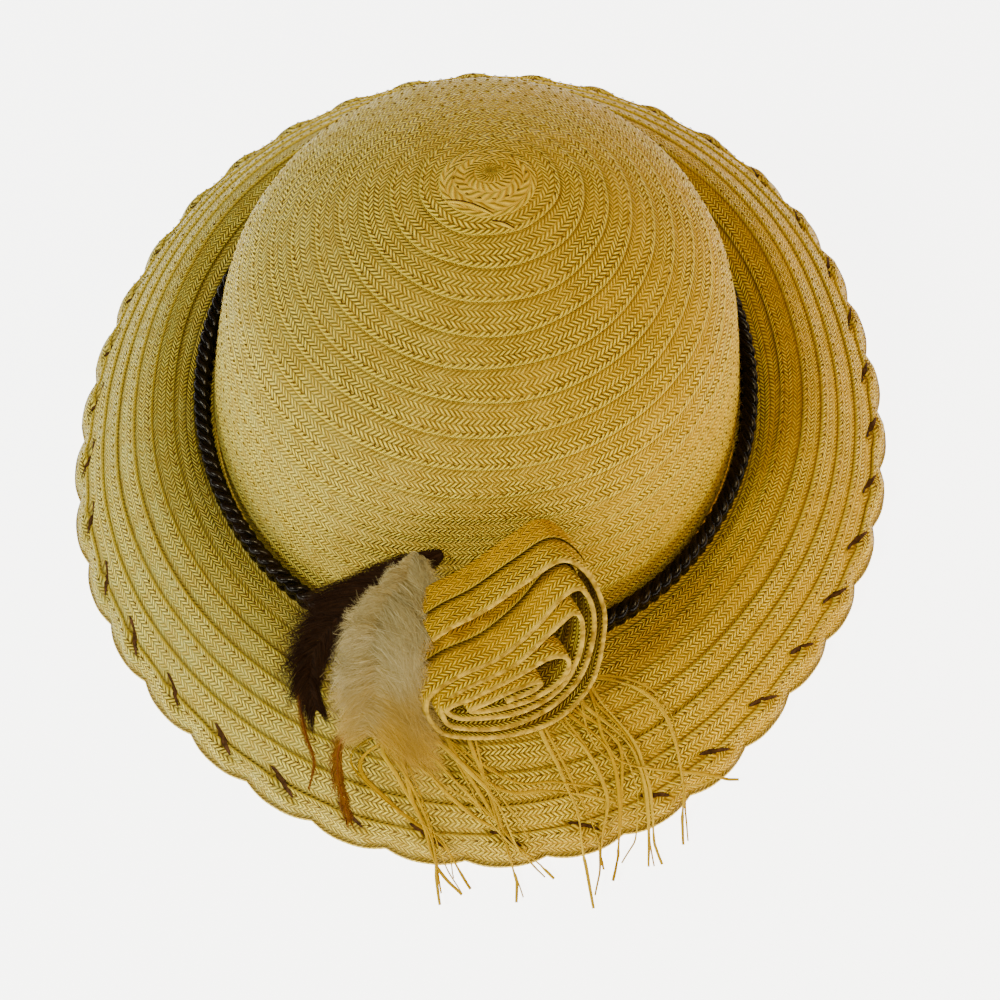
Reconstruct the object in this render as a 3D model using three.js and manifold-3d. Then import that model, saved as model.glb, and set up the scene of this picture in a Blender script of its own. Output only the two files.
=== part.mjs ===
// Cloche hat of sewn straw braid. Millimetres, +Z up, the front with the rosette towards -Y.
import * as THREE from 'three';
import Module from 'manifold-3d';

const TAU = Math.PI * 2;
const rad = THREE.MathUtils.degToRad;

// Braid
const BRAID_PITCH = 9.1;      // visible width of one sewn row
const ROW_STEP = 0.9;         // how far a lapping row edge stands proud
const STEP_RUN = 0.18;        // run of the cut edge under it
const PART_GAP = 0.4;         // air left between separate pieces

// Crown
const CROWN_TOP = 126;
const CROWN_FOOT = 27.3;
const CROWN_HALF_WIDTH = 91.3;
const CROWN_HALF_DEPTH = 97.9;
const CROWN_WALL = 1.8;
const CROWN_SEGMENTS = 40;
const CROWN_FIRST_ROW = 10.05;  // length down the crown to the first row edge
const CROWN_TIP = { x: 2.3, y: 21.5 };
const CROWN_BASE = { x: -3.6, y: 1.9 };
const DENT = { depth: 7, angle: 272, spread: 24, height: 0.352, rise: 0.172 };

// Shares of the crown run, height, half width and half depth, from the tip to the foot
const CROWN_TABLE = [
  { run: 0.0000, drop: 0.000, width: 0.000, depth: 0.000 },
  { run: 0.0625, drop: 0.017, width: 0.128, depth: 0.095 },
  { run: 0.1250, drop: 0.042, width: 0.232, depth: 0.189 },
  { run: 0.2500, drop: 0.110, width: 0.416, depth: 0.371 },
  { run: 0.3750, drop: 0.199, width: 0.589, depth: 0.543 },
  { run: 0.5000, drop: 0.307, width: 0.748, depth: 0.703 },
  { run: 0.5625, drop: 0.373, width: 0.818, depth: 0.773 },
  { run: 0.6250, drop: 0.450, width: 0.872, depth: 0.832 },
  { run: 0.6875, drop: 0.535, width: 0.912, depth: 0.877 },
  { run: 0.8125, drop: 0.719, width: 0.953, depth: 0.932 },
  { run: 1.0000, drop: 1.000, width: 1.000, depth: 1.000 },
];
const CROWN_INNER_RINGS = [1, 0.816, 0.684, 0.566, 0.395, 0.158];

// Length down the crown from the tip to the foot
const CROWN_RUN = CROWN_TABLE.slice(1).reduce((sum, row, i) => sum + Math.hypot(
  (row.depth - CROWN_TABLE[i].depth) * CROWN_HALF_DEPTH,
  (row.drop - CROWN_TABLE[i].drop) * (CROWN_TOP - CROWN_FOOT),
), 0);

// Brim
const BRIM_WIDTH = 60;        // from the foot of the crown to the edge, seen from above
const BRIM_WALL = 1.9;
const BRIM_ROWS = 8;
const BRIM_SCALLOPS = 38;
const BRIM_SEGMENTS = BRIM_SCALLOPS * 3;
const SCALLOP_NOTCH = 2.2;
const SCALLOP_TURN = 1.5;     // degrees that the first notch is turned by
const REST_LAND = 2.4;        // width of the flat ring that the brim rests on

// Shares of the brim width, by compass angle from +X towards +Y
const BRIM_EDGE = [
  { angle: 0, width: 0.949 }, { angle: 15, width: 0.964 }, { angle: 30, width: 1.010 },
  { angle: 45, width: 1.029 }, { angle: 60, width: 1.023 }, { angle: 75, width: 1.015 },
  { angle: 90, width: 0.998 }, { angle: 105, width: 0.949 }, { angle: 120, width: 0.907 },
  { angle: 135, width: 0.880 }, { angle: 150, width: 0.852 }, { angle: 165, width: 0.853 },
  { angle: 180, width: 0.880 }, { angle: 195, width: 0.931 }, { angle: 210, width: 0.958 },
  { angle: 225, width: 0.973 }, { angle: 240, width: 1.008 }, { angle: 255, width: 1.061 },
  { angle: 270, width: 1.091 }, { angle: 285, width: 1.082 }, { angle: 300, width: 1.008 },
  { angle: 315, width: 0.936 }, { angle: 330, width: 0.934 }, { angle: 345, width: 0.944 },
];

// Height of the brim top, as shares of the crown foot height, across the reach of the brim
const BRIM_TABLE = [
  { reach: 0.00, side: 1.000, front: 1.000 },
  { reach: 0.12, side: 1.030, front: 1.010 },
  { reach: 0.22, side: 1.190, front: 1.080 },
  { reach: 0.34, side: 1.270, front: 1.120 },
  { reach: 0.46, side: 1.180, front: 1.060 },
  { reach: 0.60, side: 0.940, front: 0.890 },
  { reach: 0.75, side: 0.640, front: 0.640 },
  { reach: 0.88, side: 0.345, front: 0.355 },
  { reach: 1.00, side: 0.068, front: 0.068 },
];

// Band
const BAND_WIDTH = 10;
const BAND_THICKNESS = 4.8;
const BAND_SEGMENTS = 36;
const BAND_CORNER = 1.5;

// Rosette: the middle of its back stands off the crown foot, inside its front line
const ROSE_SEAT = { side: 5.21, inset: 0.15, rise: 21.95 };
const ROSE_AXIS = new THREE.Vector3(0.245, -0.82, 0.517).normalize();
const ROSE_RIBBON = 18;       // width of the rolled strip
const ROSE_WALL = 1.4;
const ROSE_HALF_WIDTH = 32;
const ROSE_HALF_HEIGHT = 28;
const ROSE_RISE = 9;          // how far the innermost turn stands forward
const ROSE_LEAN = 11;         // how far the back of a fully leaning strip is set aside from its rim
const ROSE_LEAN_TURN = 114;   // degrees from the side of the coil to where the strip leans
const ROSE_STATIONS = 74;

// Rim of the strip from outside to inside, as shares of the coil's half width and half height,
// and the share of the lean
const ROSE_RIM = [
  { side: -0.700, up: 0.540, lean: 0.40 }, { side: -0.480, up: 0.640, lean: 0.40 },
  { side: -0.157, up: 0.734, lean: 0.40 }, { side: 0.289, up: 0.958, lean: 0.40 },
  { side: 0.647, up: 1.100, lean: 0.40 }, { side: 0.873, up: 0.869, lean: 0.40 },
  { side: 0.989, up: 0.395, lean: 0.40 }, { side: 0.958, up: -0.045, lean: 0.55 },
  { side: 0.747, up: -0.685, lean: 0.80 }, { side: 0.321, up: -1.053, lean: 1.00 },
  { side: -0.206, up: -1.057, lean: 1.00 }, { side: -0.731, up: -0.814, lean: 1.00 },
  { side: -0.910, up: -0.500, lean: 0.90 }, { side: -0.880, up: -0.160, lean: 0.90 },
  { side: -0.560, up: 0.030, lean: 1.00 }, { side: -0.148, up: 0.121, lean: 1.00 },
  { side: 0.247, up: 0.374, lean: 1.00 }, { side: 0.568, up: 0.694, lean: 0.96 },
  { side: 0.774, up: 0.741, lean: 0.92 }, { side: 0.870, up: 0.448, lean: 0.90 },
  { side: 0.827, up: 0.014, lean: 0.90 }, { side: 0.623, up: -0.478, lean: 0.90 },
  { side: 0.261, up: -0.778, lean: 0.90 }, { side: -0.218, up: -0.847, lean: 0.90 },
  { side: -0.690, up: -0.627, lean: 0.90 }, { side: -0.790, up: -0.400, lean: 0.90 },
  { side: -0.750, up: -0.220, lean: 0.90 }, { side: -0.494, up: -0.080, lean: 0.90 },
  { side: -0.016, up: 0.036, lean: 0.90 }, { side: 0.384, up: 0.340, lean: 0.90 },
  { side: 0.646, up: 0.511, lean: 0.88 }, { side: 0.735, up: 0.332, lean: 0.86 },
  { side: 0.650, up: -0.089, lean: 0.84 }, { side: 0.390, up: -0.490, lean: 0.82 },
  { side: -0.045, up: -0.641, lean: 0.80 }, { side: -0.560, up: -0.500, lean: 0.80 },
  { side: -0.740, up: -0.330, lean: 0.80 }, { side: -0.700, up: -0.220, lean: 0.80 },
  { side: -0.440, up: -0.180, lean: 0.80 }, { side: -0.039, up: -0.070, lean: 0.80 },
  { side: 0.322, up: 0.059, lean: 0.80 }, { side: 0.505, up: 0.000, lean: 0.78 },
  { side: 0.520, up: -0.173, lean: 0.76 }, { side: 0.380, up: -0.354, lean: 0.74 },
  { side: 0.086, up: -0.467, lean: 0.72 }, { side: -0.241, up: -0.458, lean: 0.70 },
  { side: -0.500, up: -0.380, lean: 0.70 }, { side: -0.520, up: -0.300, lean: 0.70 },
  { side: -0.360, up: -0.270, lean: 0.70 }, { side: -0.074, up: -0.200, lean: 0.70 },
  { side: 0.170, up: -0.180, lean: 0.70 }, { side: 0.220, up: -0.250, lean: 0.70 },
  { side: 0.110, up: -0.330, lean: 0.70 }, { side: -0.160, up: -0.360, lean: 0.70 },
];

// Feathers: the root stands off the crown at a share of its run and an angle. Rows are shares of
// the length sideways, forwards and up from the root, and shares of the vane half width.
const DARK_FEATHER = {
  length: 64,
  vane: 5.5,
  root: { run: 0.757, angle: 261.5, stand: 2.4 },
  rows: [
    { side: 0.000, forward: 0.000, up: 0.000, left: 0.36, right: 0.36 },
    { side: -0.167, forward: 0.067, up: -0.029, left: 0.73, right: 0.64 },
    { side: -0.385, forward: 0.160, up: -0.123, left: 1.00, right: 0.91 },
    { side: -0.557, forward: 0.270, up: -0.232, left: 1.00, right: 1.00 },
    { side: -0.651, forward: 0.395, up: -0.310, left: 0.82, right: 0.91 },
    { side: -0.667, forward: 0.528, up: -0.357, left: 0.55, right: 0.55 },
    { side: -0.635, forward: 0.653, up: -0.404, left: 0.18, right: 0.18 },
  ],
};
const CREAM_FEATHER = {
  length: 64,
  vane: 14,
  root: { run: 0.747, angle: 256.1, stand: 4.1 },
  rows: [
    { side: 0.000, forward: 0.000, up: 0.000, left: 0.14, right: 0.18 },
    { side: -0.080, forward: 0.199, up: 0.036, left: 0.64, right: 0.57 },
    { side: -0.173, forward: 0.371, up: 0.020, left: 0.86, right: 0.61 },
    { side: -0.205, forward: 0.527, up: -0.073, left: 1.00, right: 0.71 },
    { side: -0.220, forward: 0.668, up: -0.214, left: 0.96, right: 0.93 },
    { side: -0.220, forward: 0.777, up: -0.355, left: 0.86, right: 0.86 },
    { side: -0.189, forward: 0.863, up: -0.495, left: 0.36, right: 0.50 },
  ],
};

// The brown feather hangs from under the cream one, so its root is a place on that quill
const HACKLE_FEATHER = {
  length: 45,
  vane: 1.8,
  root: { quill: 0.72 },
  rows: [
    { side: 0.000, forward: 0.000, up: 0.000, left: 0.56, right: 0.56 },
    { side: -0.223, forward: 0.133, up: -0.248, left: 0.89, right: 0.89 },
    { side: -0.268, forward: 0.323, up: -0.424, left: 1.00, right: 1.00 },
    { side: -0.234, forward: 0.479, up: -0.557, left: 0.89, right: 0.89 },
    { side: -0.201, forward: 0.612, up: -0.691, left: 0.44, right: 0.44 },
  ],
};
const QUILL = 1.6;            // half thickness of a quill at its root
const LOCK_TIP = 0.5;
const LOCK_THICK = 1.1;
const LOCK_NARROW = 0.7;      // least half width of a lock at its root
const LOCK_SWEEP = 3;         // least sweep of a lock towards the feather's tip
const LOCK_BURIED = 0.4;      // how far a lock's root reaches past the middle of the quill
const LOCK_WIDE = 3.4;        // widest half width of a lock
const LOCK_TAPER = 0.45;

// Fringe: places on the brim are a compass angle and a share of the way from the crown to the edge
const STRAND = 1.7;
const FRINGE_KNOT = 2.6;      // thickness of the knotted backing
const KNOT_PATH = [
  { angle: 262.0, reach: 0.393 },
  { angle: 268.2, reach: 0.422 },
  { angle: 274.6, reach: 0.434 },
  { angle: 280.9, reach: 0.395 },
  { angle: 285.7, reach: 0.301 },
];

// knot is the place along the backing, lift the height of the tip over the brim in strand widths
const FRINGE_STRANDS = [
  { knot: 0.98, bendAngle: 295.3, bendReach: 0.490, endAngle: 292.0, endReach: 1.109, lift: 1.76 },
  { knot: 0.92, bendAngle: 292.6, bendReach: 0.538, endAngle: 288.6, endReach: 1.161, lift: 1.76 },
  { knot: 0.84, bendAngle: 289.8, bendReach: 0.555, endAngle: 286.7, endReach: 1.152, lift: 1.41 },
  { knot: 0.74, bendAngle: 285.5, bendReach: 0.618, endAngle: 282.9, endReach: 1.153, lift: 1.18 },
  { knot: 0.66, bendAngle: 280.3, bendReach: 0.670, endAngle: 280.1, endReach: 1.242, lift: 1.18 },
  { knot: 0.46, bendAngle: 274.8, bendReach: 0.710, endAngle: 276.4, endReach: 1.086, lift: 1.29 },
  { knot: 0.36, bendAngle: 270.0, bendReach: 0.667, endAngle: 272.5, endReach: 1.167, lift: 1.18 },
  { knot: 0.26, bendAngle: 265.6, bendReach: 0.703, endAngle: 270.7, endReach: 0.958, lift: 2.59 },
  { knot: 0.14, bendAngle: 260.3, bendReach: 0.701, endAngle: 267.4, endReach: 1.097, lift: 1.29 },
  { knot: 0.04, bendAngle: 258.0, bendReach: 0.673, endAngle: 264.4, endReach: 1.187, lift: 1.18 },
];

// Reads a table of named columns at any place, with straight runs eased by a monotone cubic
function readTable(table, by, column, at) {
  const last = table.length - 1;
  if (at <= table[0][by]) {
    return table[0][column];
  }
  if (at >= table[last][by]) {
    return table[last][column];
  }
  const slope = (i) => (table[i + 1][column] - table[i][column]) / (table[i + 1][by] - table[i][by]);
  const tangent = (i) => {
    if (i === 0) {
      return slope(0);
    }
    if (i === last) {
      return slope(last - 1);
    }
    const before = slope(i - 1);
    const after = slope(i);
    return before * after <= 0 ? 0 : (2 * before * after) / (before + after);
  };
  let i = 0;
  while (at > table[i + 1][by]) {
    i += 1;
  }
  const span = table[i + 1][by] - table[i][by];
  const u = (at - table[i][by]) / span;
  const a = table[i][column];
  const b = table[i + 1][column];
  const ta = tangent(i) * span;
  const tb = tangent(i + 1) * span;
  return a * (1 + 2 * u) * (1 - u) ** 2 + ta * u * (1 - u) ** 2 + b * u * u * (3 - 2 * u) + tb * u * u * (u - 1);
}

// Reads a table whose rows are evenly spaced round the compass
function readCompass(table, column, degrees) {
  const step = 360 / table.length;
  const turn = (((degrees % 360) + 360) % 360) / step;
  const i = Math.floor(turn);
  const u = turn - i;
  const at = (k) => table[(k + table.length) % table.length][column];
  const a = at(i - 1);
  const b = at(i);
  const c = at(i + 1);
  const d = at(i + 2);
  return b + 0.5 * u * (c - a + u * (2 * a - 5 * b + 4 * c - d + u * (3 * (b - c) + d - a)));
}

class Skin {
  constructor() {
    this.points = [];
    this.faces = [];
  }

  add(point) {
    this.points.push(point.x, point.y, point.z);
    return this.points.length / 3 - 1;
  }

  ring(points) {
    return points.map((point) => this.add(point));
  }

  // Joins two closed rings of the same count
  bridge(a, b) {
    for (let i = 0; i < a.length; i += 1) {
      const j = (i + 1) % a.length;
      this.faces.push(a[i], b[i], b[j], a[i], b[j], a[j]);
    }
  }

  fan(centre, ring, flip) {
    for (let i = 0; i < ring.length; i += 1) {
      const j = (i + 1) % ring.length;
      this.faces.push(centre, ...(flip ? [ring[j], ring[i]] : [ring[i], ring[j]]));
    }
  }

  geometry() {
    const geometry = new THREE.BufferGeometry();
    geometry.setAttribute('position', new THREE.Float32BufferAttribute(this.points, 3));
    geometry.setIndex(this.faces);
    return geometry;
  }
}

// Crown surface: a point at a length down the crown and an angle round it, moved out by lift
function crownProfile(run) {
  const share = run / CROWN_RUN;
  return {
    halfWidth: CROWN_HALF_WIDTH * readTable(CROWN_TABLE, 'run', 'width', share),
    halfDepth: CROWN_HALF_DEPTH * readTable(CROWN_TABLE, 'run', 'depth', share),
    z: CROWN_TOP - (CROWN_TOP - CROWN_FOOT) * readTable(CROWN_TABLE, 'run', 'drop', share),
    x: CROWN_TIP.x + (CROWN_BASE.x - CROWN_TIP.x) * share,
    y: CROWN_TIP.y + (CROWN_BASE.y - CROWN_TIP.y) * share,
  };
}

function crownPoint(run, angle, lift) {
  const here = crownProfile(run);
  const above = crownProfile(Math.max(run - 2, 0));
  const below = crownProfile(Math.min(run + 2, CROWN_RUN));
  const out = new THREE.Vector2(above.z - below.z, below.halfDepth - above.halfDepth).normalize();
  const degrees = ((angle / TAU) * 360 + 360) % 360;
  const height = (here.z - CROWN_FOOT) / (CROWN_TOP - CROWN_FOOT);
  const across = (degrees - DENT.angle) / DENT.spread;
  const along = (height - DENT.height) / DENT.rise;
  const dent = DENT.depth * Math.exp(-across * across - along * along);
  const halfWidth = Math.max(here.halfWidth + (lift - dent) * out.x, 0.1);
  const halfDepth = Math.max(here.halfDepth + (lift - dent) * out.x, 0.1);
  return new THREE.Vector3(
    here.x + halfWidth * Math.cos(angle),
    here.y + halfDepth * Math.sin(angle),
    here.z + lift * out.y,
  );
}

function crownRing(run, lift) {
  const points = [];
  for (let i = 0; i < CROWN_SEGMENTS; i += 1) {
    points.push(crownPoint(run, (i / CROWN_SEGMENTS) * TAU, lift));
  }
  return points;
}

function makeCrown() {
  const skin = new Skin();
  const tip = crownProfile(0);
  const outer = [];
  for (let edge = CROWN_FIRST_ROW; edge < CROWN_RUN - BRAID_PITCH / 4; edge += BRAID_PITCH) {
    outer.push(crownRing(edge, ROW_STEP), crownRing(edge + STEP_RUN, 0));
  }
  outer.push(crownRing(CROWN_RUN, 0));
  const inner = CROWN_INNER_RINGS.map((share) => crownRing(share * CROWN_RUN, -CROWN_WALL));
  const rings = [...outer, ...inner].map((points) => skin.ring(points));
  const top = skin.add(new THREE.Vector3(tip.x, tip.y, tip.z + 0.7 * ROW_STEP));
  const under = skin.add(new THREE.Vector3(tip.x, tip.y, tip.z - CROWN_WALL));
  skin.fan(top, rings[0], false);
  for (let i = 0; i + 1 < rings.length; i += 1) {
    skin.bridge(rings[i], rings[i + 1]);
  }
  skin.fan(under, rings[rings.length - 1], true);
  return skin.geometry();
}

// Brim: from the foot of the crown to the edge, at a share of the reach
function brimStart(angle) {
  // Distance from the origin to the foot of the crown in this direction
  const cos = Math.cos(angle);
  const sin = Math.sin(angle);
  const width = CROWN_HALF_WIDTH + PART_GAP;
  const depth = CROWN_HALF_DEPTH + PART_GAP;
  const a = (cos / width) ** 2 + (sin / depth) ** 2;
  const b = -2 * ((cos * CROWN_BASE.x) / width ** 2 + (sin * CROWN_BASE.y) / depth ** 2);
  const c = (CROWN_BASE.x / width) ** 2 + (CROWN_BASE.y / depth) ** 2 - 1;
  return (-b + Math.sqrt(b * b - 4 * a * c)) / (2 * a);
}

function brimEdge(angle) {
  return brimStart(angle) + BRIM_WIDTH * readCompass(BRIM_EDGE, 'width', (angle / TAU) * 360);
}

function brimHeight(angle, share) {
  const side = readTable(BRIM_TABLE, 'reach', 'side', share);
  const front = readTable(BRIM_TABLE, 'reach', 'front', share);
  const frontness = Math.max(-Math.sin(angle), 0) ** 2;
  return CROWN_FOOT * (side + (front - side) * frontness);
}

function brimPoint(angle, share, lift, notch) {
  const start = brimStart(angle);
  const end = brimEdge(angle) - notch;
  const before = Math.max(share - 0.02, 0);
  const after = Math.min(share + 0.02, 1);
  const run = (after - before) * (end - start);
  const fall = brimHeight(angle, after) - brimHeight(angle, before);
  const out = new THREE.Vector2(-fall, run).normalize();
  const reach = start + share * (end - start) + lift * out.x;
  const z = Math.max(brimHeight(angle, share) + lift * out.y, 0);
  return new THREE.Vector3(reach * Math.cos(angle), reach * Math.sin(angle), z);
}

function brimRing(share, lift, ripple) {
  const points = [];
  for (let i = 0; i < BRIM_SEGMENTS; i += 1) {
    const angle = (i / BRIM_SEGMENTS) * TAU + rad(SCALLOP_TURN);
    const notch = i % 3 === 0 ? SCALLOP_NOTCH * ripple : 0;
    points.push(brimPoint(angle, share, lift, notch));
  }
  return points;
}

// The flat ring at floor height that the brim rests on
function brimFloorRing(inset, ripple) {
  return brimRing(1, 0, ripple).map((point) => {
    const reach = Math.hypot(point.x, point.y);
    const scale = (reach - inset) / reach;
    return new THREE.Vector3(point.x * scale, point.y * scale, 0);
  });
}

function makeBrim() {
  const skin = new Skin();
  const rings = [brimRing(0, 0, 0)];
  for (let row = 1; row < BRIM_ROWS; row += 1) {
    const edge = row / BRIM_ROWS;
    rings.push(brimRing(edge - STEP_RUN / BRIM_WIDTH, 0, 0), brimRing(edge, ROW_STEP, 0));
  }
  rings.push(brimRing(1, 0, 1));
  rings.push(brimFloorRing(0, 1), brimFloorRing(REST_LAND, 0));
  for (const share of [0.7, 0.36, 0.16, 0]) {
    rings.push(brimRing(share, -BRIM_WALL, 0));
  }
  const loops = rings.map((points) => skin.ring(points));
  for (let i = 0; i < loops.length; i += 1) {
    skin.bridge(loops[i], loops[(i + 1) % loops.length]);
  }
  return skin.geometry();
}

// Band: a rounded strap round the foot of the crown, pressed into the crease
function makeBand() {
  const skin = new Skin();
  const half = BAND_THICKNESS / 2;
  const tall = BAND_WIDTH / 2;
  const section = [
    { out: half, up: tall - BAND_CORNER },
    { out: half - BAND_CORNER, up: tall },
    { out: BAND_CORNER - half, up: tall },
    { out: -half, up: tall - BAND_CORNER },
    { out: -half, up: BAND_CORNER - tall },
    { out: BAND_CORNER - half, up: -tall },
    { out: half - BAND_CORNER, up: -tall },
    { out: half, up: BAND_CORNER - tall },
  ];
  const span = (ROW_STEP + BAND_THICKNESS) / BRIM_WIDTH;
  const centreZ = brimHeight(0, span) + PART_GAP + tall;
  const width = CROWN_HALF_WIDTH + PART_GAP + ROW_STEP + half;
  const depth = CROWN_HALF_DEPTH + PART_GAP + ROW_STEP + half;
  const loops = section.map((corner) => {
    const points = [];
    for (let i = 0; i < BAND_SEGMENTS; i += 1) {
      const angle = (i / BAND_SEGMENTS) * TAU;
      points.push(new THREE.Vector3(
        CROWN_BASE.x + (width + corner.out) * Math.cos(angle),
        CROWN_BASE.y + (depth + corner.out) * Math.sin(angle),
        centreZ + corner.up,
      ));
    }
    return skin.ring(points);
  });
  for (let i = 0; i < loops.length; i += 1) {
    skin.bridge(loops[(i + 1) % loops.length], loops[i]);
  }
  return skin.geometry();
}

// Rosette: one strip rolled into a flat coil, its inner turns standing forward and its faces leaning
function makeRosette() {
  const up = new THREE.Vector3(0, 0, 1);
  const flat = new THREE.Vector3().crossVectors(up, ROSE_AXIS).normalize();
  const tall = new THREE.Vector3().crossVectors(ROSE_AXIS, flat);
  const seat = new THREE.Vector3(
    CROWN_BASE.x + ROSE_SEAT.side,
    CROWN_BASE.y - CROWN_HALF_DEPTH + ROSE_SEAT.inset,
    CROWN_FOOT + ROSE_SEAT.rise,
  );
  const rim = new THREE.CatmullRomCurve3(
    ROSE_RIM.map((row) => new THREE.Vector3(row.side * ROSE_HALF_WIDTH, row.up * ROSE_HALF_HEIGHT, row.lean)),
    false,
    'centripetal',
  );
  const spots = rim.getSpacedPoints(ROSE_STATIONS);
  const skin = new Skin();
  let previous = null;
  spots.forEach((spot, i) => {
    const ahead = spots[Math.min(i + 1, ROSE_STATIONS)];
    const behind = spots[Math.max(i - 1, 0)];
    const inward = new THREE.Vector2(ahead.y - behind.y, behind.x - ahead.x).setLength(ROSE_WALL);
    const aside = ROSE_LEAN * spot.z;
    const deep = Math.sqrt(ROSE_RIBBON ** 2 - aside ** 2);
    const rise = (ROSE_RISE * i) / ROSE_STATIONS;
    const place = (within, back) => seat.clone()
      .addScaledVector(flat, spot.x + within * inward.x + back * aside * Math.cos(rad(ROSE_LEAN_TURN)))
      .addScaledVector(tall, spot.y + within * inward.y + back * aside * Math.sin(rad(ROSE_LEAN_TURN)))
      .addScaledVector(ROSE_AXIS, ROSE_RIBBON + rise - back * deep);
    const ring = skin.ring([place(0, 0), place(1, 0), place(1, 1), place(0, 1)]);
    if (previous) {
      skin.bridge(ring, previous);
    } else {
      skin.faces.push(ring[0], ring[2], ring[1], ring[0], ring[3], ring[2]);
    }
    previous = ring;
  });
  const [a, b, c, d] = previous;
  skin.faces.push(a, b, c, a, c, d);
  return skin.geometry();
}

// A tapering strip with a square section along a path, closed at both ends
function makeStrip(path, sizes, sides) {
  const skin = new Skin();
  let previous = null;
  path.forEach((point, i) => {
    const ahead = path[Math.min(i + 1, path.length - 1)];
    const behind = path[Math.max(i - 1, 0)];
    const along = new THREE.Vector3().subVectors(ahead, behind).normalize();
    const side = new THREE.Vector3().crossVectors(along, new THREE.Vector3(0, 0.3, 1)).normalize();
    const top = new THREE.Vector3().crossVectors(side, along).normalize();
    const corners = [];
    for (let k = 0; k < sides; k += 1) {
      const angle = ((k + 0.5) / sides) * TAU;
      corners.push(point.clone()
        .addScaledVector(side, sizes[i].wide * Math.cos(angle))
        .addScaledVector(top, sizes[i].thick * Math.sin(angle)));
    }
    const ring = skin.ring(corners);
    if (previous) {
      skin.bridge(previous, ring);
    } else {
      skin.fan(skin.add(point), ring, false);
    }
    previous = ring;
  });
  skin.fan(skin.add(path[path.length - 1]), previous, true);
  return skin.geometry();
}

function curveThrough(points, count) {
  return new THREE.CatmullRomCurve3(points, false, 'centripetal').getSpacedPoints(count);
}

function crownSeat(root) {
  return crownPoint(root.run * CROWN_RUN, rad(root.angle), root.stand);
}

function quillPoints(feather, root) {
  return feather.rows.map((row) => new THREE.Vector3(
    root.x + row.side * feather.length,
    root.y - row.forward * feather.length,
    root.z + row.up * feather.length,
  ));
}

// Feather: a quill with flat pointed locks on both sides, fused
function featherParts(feather, root, locks, lean) {
  const table = feather.rows;
  const points = quillPoints(feather, root);
  const quill = curveThrough(points, 7);
  const parts = [makeStrip(
    quill,
    quill.map((_, i) => ({ wide: QUILL * (1 - 0.09 * i), thick: QUILL * (1 - 0.09 * i) })),
    4,
  )];
  const curve = new THREE.CatmullRomCurve3(points, false, 'centripetal');
  for (let i = 0; i < locks; i += 1) {
    for (const hand of [-1, 1]) {
      const at = (i + 0.3 + (hand > 0 ? 0.35 : 0)) / locks;
      const root = curve.getPoint(at * 0.9);
      const along = curve.getTangent(at * 0.9);
      const row = at * 0.9 * (table.length - 1);
      const low = Math.min(Math.floor(row), table.length - 2);
      const column = hand < 0 ? 'left' : 'right';
      const share = table[low][column] + (row - low) * (table[low + 1][column] - table[low][column]);
      const reach = feather.vane * share;
      const view = new THREE.Vector3(0, -0.43, 0.9);
      const side = new THREE.Vector3().crossVectors(along, view).normalize().multiplyScalar(hand);
      const tip = root.clone()
        .addScaledVector(side, reach)
        .addScaledVector(along, reach * lean + LOCK_SWEEP)
        .addScaledVector(view, -0.08 * reach);
      const back = root.clone().addScaledVector(side, -LOCK_BURIED);
      const wide = Math.min(LOCK_WIDE, LOCK_NARROW + 0.3 * reach);
      parts.push(makeStrip(
        [back, tip],
        [{ wide, thick: LOCK_THICK }, { wide: wide * LOCK_TAPER, thick: LOCK_TIP }],
        3,
      ));
    }
  }
  return parts;
}

// Plan position of a place on the brim
function brimPlan(degrees, reach) {
  const angle = rad(degrees);
  const start = brimStart(angle);
  const radius = start + reach * (brimEdge(angle) - start);
  return new THREE.Vector2(radius * Math.cos(angle), radius * Math.sin(angle));
}

function brimTopAt(x, y) {
  const angle = Math.atan2(y, x);
  const start = brimStart(angle);
  const width = brimEdge(angle) - start;
  const share = (Math.hypot(x, y) - start) / width;
  if (share > 1) {
    return Math.max(brimHeight(angle, 1) - (share - 1) * width, 0);
  }
  return brimHeight(angle, Math.max(share, 0)) + ROW_STEP;
}

// Fringe: strands that leave one knotted backing under the rosette and lie over the brim
function fringeParts() {
  const half = FRINGE_KNOT / 2;
  const knotLift = half + PART_GAP;
  const knotCurve = new THREE.CatmullRomCurve3(
    KNOT_PATH.map((row) => {
      const plan = brimPlan(row.angle, row.reach);
      return new THREE.Vector3(plan.x, plan.y, brimTopAt(plan.x, plan.y) + knotLift);
    }),
    false,
    'centripetal',
  );
  const knot = knotCurve.getSpacedPoints(8);
  const parts = [makeStrip(knot, knot.map(() => ({ wide: half * 1.3, thick: half })), 4)];
  for (const strand of FRINGE_STRANDS) {
    const root = knotCurve.getPoint(strand.knot);
    const bend = brimPlan(strand.bendAngle, strand.bendReach);
    const end = brimPlan(strand.endAngle, strand.endReach);
    const path = [];
    const steps = 8;
    for (let i = 0; i <= steps; i += 1) {
      const u = i / steps;
      const x = (1 - u) ** 2 * root.x + 2 * u * (1 - u) * bend.x + u * u * end.x;
      const y = (1 - u) ** 2 * root.y + 2 * u * (1 - u) * bend.y + u * u * end.y;
      const tipLift = strand.lift * STRAND;
      const lift = knotLift + (tipLift - knotLift) * Math.sin((u * Math.PI) / 2);
      path.push(new THREE.Vector3(x, y, brimTopAt(x, y) + lift));
    }
    path[0] = root;
    parts.push(makeStrip(path, path.map(() => ({ wide: STRAND / 2, thick: STRAND / 2 })), 3));
  }
  return parts;
}

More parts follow.
